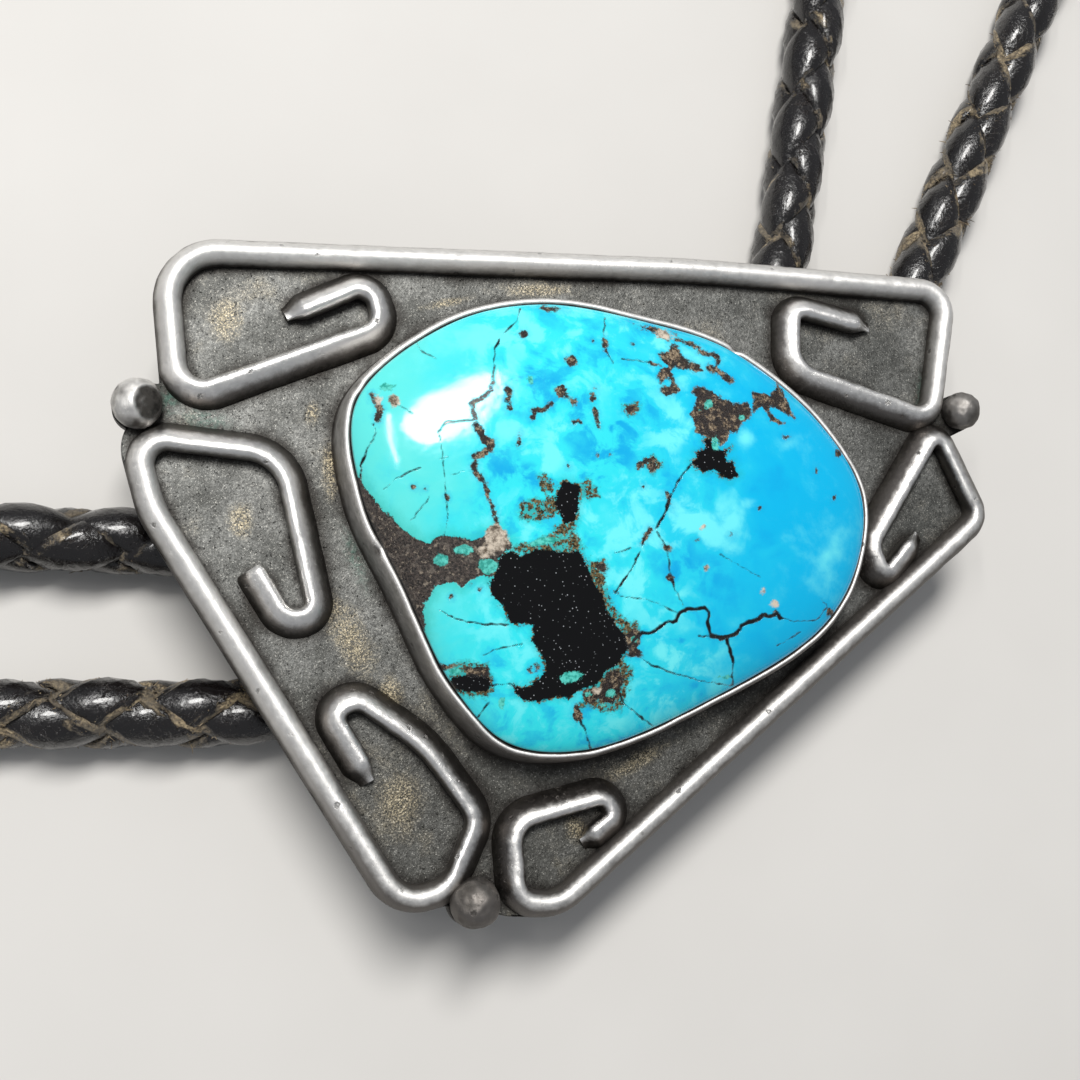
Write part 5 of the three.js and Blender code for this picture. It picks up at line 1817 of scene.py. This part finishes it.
def clasp():
    half = CHANNEL_SPACING / 2
    quarter = math.pi / 2
    outer = arc((half, CHANNEL_AXIS), CLASP_HEIGHT / 2, -quarter, quarter, ARC_STEPS)
    outer += arc((-half, CHANNEL_AXIS), CLASP_HEIGHT / 2, quarter, 3 * quarter, ARC_STEPS)
    loops = [outer]
    for x in (-half, half):
        loops.append(arc((x, CHANNEL_AXIS), BORE_RADIUS, 0, 4 * quarter, BORE_STEPS)[:-1])
    points = [Vector(p) for loop in loops for p in loop]
    starts = np.cumsum([0] + [len(loop) for loop in loops])
    rings = [list(range(a, b)) for a, b in zip(starts[:-1], starts[1:])]
    flat, _, faces, _, _, origins = delaunay_2d_cdt(points, [], rings, 0, 1e-7)
    shape = bmesh.new()
    verts = [shape.verts.new((p.x, -CLASP_LENGTH / 2, p.y)) for p in flat]
    for face, origin in zip(faces, origins):
        if list(origin) == [0]:
            shape.faces.new([verts[i] for i in face])
    out = bmesh.ops.extrude_face_region(shape, geom=shape.faces[:])
    for item in out["geom"]:
        if isinstance(item, bmesh.types.BMVert):
            item.co.y += CLASP_LENGTH
    bmesh.ops.recalc_face_normals(shape, faces=shape.faces[:])
    rim = [e for e in shape.edges if e.calc_face_angle(0) > SHARP_EDGE]
    bmesh.ops.bevel(shape, geom=rim, offset=CLASP_EDGE, segments=3, profile=0.5, affect="EDGES")
    turn = Matrix.Rotation(CLASP_TURN - math.pi / 2, 4, "Z")
    place = Matrix.Translation((clasp_middle.x, clasp_middle.y, 0))
    bmesh.ops.transform(shape, matrix=place @ turn, verts=shape.verts)
    return new_piece("clasp_block", shape)


clasp_block = clasp()
print("clasp", len(clasp_block.data.polygons), "faces, turned", round(CLASP_TURN, 2), "radians")

# %% [markdown]
# ## The cord's tips
# Each end of the cord is glued into a tapered metal tip, turned on a lathe, with a bead at its
# mouth and two fine grooves. A turned piece is one profile carried round an axis.

# %% Turn the tips
TIP_LENGTH = 32 * MM
TIP_PROFILE = [
    (0.0, 0.0), (0.93, 0.0), (0.985, 0.006), (1.0, 0.02), (1.0, 0.045), (0.97, 0.06), (0.90, 0.066),
    (0.885, 0.08), (0.90, 0.095), (0.905, 0.12), (0.885, 0.125), (0.885, 0.135), (0.90, 0.14),
    (0.78, 0.50), (0.665, 0.84), (0.645, 0.85), (0.645, 0.86), (0.655, 0.87), (0.60, 0.93),
    (0.52, 0.965), (0.38, 0.988), (0.20, 0.998), (0.0, 1.0),
]
TIP_STEPS = 64


def cord_tip(name, node):
    low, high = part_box(node)
    centre = (low + high) / 2
    shape = bmesh.new()
    rings = []
    for out, along in TIP_PROFILE:
        y = low.y + along * TIP_LENGTH
        if out == 0:
            rings.append([shape.verts.new((centre.x, y, centre.z))])
            continue
        rings.append([shape.verts.new((centre.x + out * TIP_RADIUS * math.cos(a), y,
                                       centre.z + out * TIP_RADIUS * math.sin(a)))
                      for a in np.arange(TIP_STEPS) * 2 * math.pi / TIP_STEPS])
    for here, there in zip(rings[:-1], rings[1:]):
        for k in range(TIP_STEPS):
            m = (k + 1) % TIP_STEPS
            around = ((here, k), (here, m), (there, m), (there, k))
            corners = [ring[place % len(ring)] for ring, place in around]
            shape.faces.new(list(dict.fromkeys(corners)))
    bmesh.ops.recalc_face_normals(shape, faces=shape.faces[:])
    return new_piece(name, shape)


tips = [cord_tip("upper_tip", "cord_tip_upper"), cord_tip("lower_tip", "cord_tip_lower")]
print([tip.name for tip in tips], len(TIP_PROFILE), "points in the profile")

# %% [markdown]
# The clasp and the tips are plated. Plating stays bright, so a slow noise for smears and a
# stretched one for fine scratches are enough. One recipe serves both, with its own colours.

# %% Finish the plated metal
def finish_plated(name, bright, dark, roughness):
    """Plated metal, handled for years: bright, with soft smears and fine scratches."""
    finish, n, shader, place = new_finish(name)
    smear = n.noise(place, 0.25, 4.0, 0.6)
    fine = n.noise(n.vector("MULTIPLY", place, (6.0, 1.0, 6.0)), 1.6, 5.0, 0.7)
    colour = n.mix(n.span(smear, 0.35, 0.7), bright, dark)
    n.tree.links.new(colour, shader.inputs["Base Color"])
    shader.inputs["Metallic"].default_value = 1.0
    rough = n.math("MULTIPLY_ADD", fine, 0.2, roughness)
    n.tree.links.new(rough, shader.inputs["Roughness"])
    bump(n, shader, fine, 0.02 * MM, 0.6)
    return finish


nickel = finish_plated("nickel plate", paint(0.62, 0.60, 0.56), paint(0.40, 0.37, 0.33), 0.22)
clasp_block.data.materials.append(nickel)
tip_finish = finish_plated("polished tip", paint(0.66, 0.64, 0.61), paint(0.34, 0.32, 0.30), 0.16)
for tip in tips:
    tip.data.materials.append(tip_finish)
print("plated:", nickel.name, "and", tip_finish.name)

# %% [markdown]
# ## The stage
# The tie lies on a plain pale table. A window stands at the upper left, placed and turned so that
# the long highlight on the stone falls where a real one would, and a narrow gap beside it gives
# a second streak. The pale room fills the shadows. Colours go to the screen unchanged, because
# the usual filmic curve would grey the turquoise.

# %% Lay the floor
FLOOR_SIZE = 3.0


def make_floor():
    mesh = bpy.data.meshes.new("floor")
    half = FLOOR_SIZE / 2
    corners = [(-half, -half, 0), (half, -half, 0), (half, half, 0), (-half, half, 0)]
    mesh.from_pydata(corners, [], [(0, 1, 2, 3)])
    floor = put_in_scene("floor", mesh)
    finish, n, shader, place = new_finish("pale table")
    colour = n.mix(n.noise(place, 0.05, 3.0), paint(0.60, 0.585, 0.56), paint(0.66, 0.645, 0.62))
    n.tree.links.new(colour, shader.inputs["Base Color"])
    shader.inputs["Roughness"].default_value = 0.7
    mesh.materials.append(finish)
    return floor


floor = make_floor()
print("floor", FLOOR_SIZE, "m wide")

# %% [markdown]
# Both lights are area lights, because a lamp with a size gives soft shadows and a highlight with
# a shape. They are about 0.6 m from the slide and point just above the table. The window
# is rolled about its own axis, so that its long highlight slants across the stone.

# %% Set the lights
LIT_POINT = Vector((0, 0, 10 * MM))
WARM_WHITE = (1.0, 0.985, 0.96)
WINDOW_PLACE = Vector((-0.10, 0.26, 0.54))
WINDOW_SIZE = (0.30, 0.14)
WINDOW_POWER = 3.6
WINDOW_ROLL = math.radians(51)
GAP_PLACE = Vector((-0.28, 0.16, 0.53))
GAP_SIZE = (0.022, 0.21)
GAP_POWER = 0.5
ROOM_COLOUR = paint(0.80, 0.83, 0.88)
ROOM_STRENGTH = 0.36


def area_light(name, shape, place, size, power, roll):
    data = bpy.data.lights.new(name, "AREA")
    data.shape = shape
    data.size, data.size_y = size
    data.energy = power
    data.color = WARM_WHITE
    light = put_in_scene(name, data)
    light.location = place
    aim(light, LIT_POINT)
    turn = light.rotation_euler.to_matrix() @ Matrix.Rotation(roll, 3, "Z")
    light.rotation_euler = turn.to_euler()
    return light


window = area_light("window", "ELLIPSE", WINDOW_PLACE, WINDOW_SIZE, WINDOW_POWER, WINDOW_ROLL)
gap = area_light("gap", "RECTANGLE", GAP_PLACE, GAP_SIZE, GAP_POWER, 0.0)
world = bpy.data.worlds.new("soft room")
world.use_nodes = True
world.node_tree.nodes["Background"].inputs["Color"].default_value = ROOM_COLOUR
world.node_tree.nodes["Background"].inputs["Strength"].default_value = ROOM_STRENGTH
bpy.context.scene.world = world
bpy.context.scene.view_settings.view_transform = "Standard"
print("lights:", window.name, WINDOW_POWER, "W,", gap.name, GAP_POWER, "W")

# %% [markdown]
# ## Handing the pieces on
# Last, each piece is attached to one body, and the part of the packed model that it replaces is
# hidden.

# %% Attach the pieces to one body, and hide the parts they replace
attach(braid, "root")
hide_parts("braided_cord")
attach(fray, "root")
for piece in [plate, bezel_strip, *wires, *balls]:
    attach(piece, "root")
    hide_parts("silver_setting")
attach(cabochon, "root")
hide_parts("turquoise_stone")
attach(clasp_block, "root")
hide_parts("back_clasp")
for tip, node in zip(tips, ("cord_tip_upper", "cord_tip_lower")):
    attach(tip, "root")
    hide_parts(node)
pieces = [braid, fray, plate, bezel_strip, *wires, *balls, cabochon, clasp_block, *tips]
print("handed on:", len(pieces), "pieces and the floor")
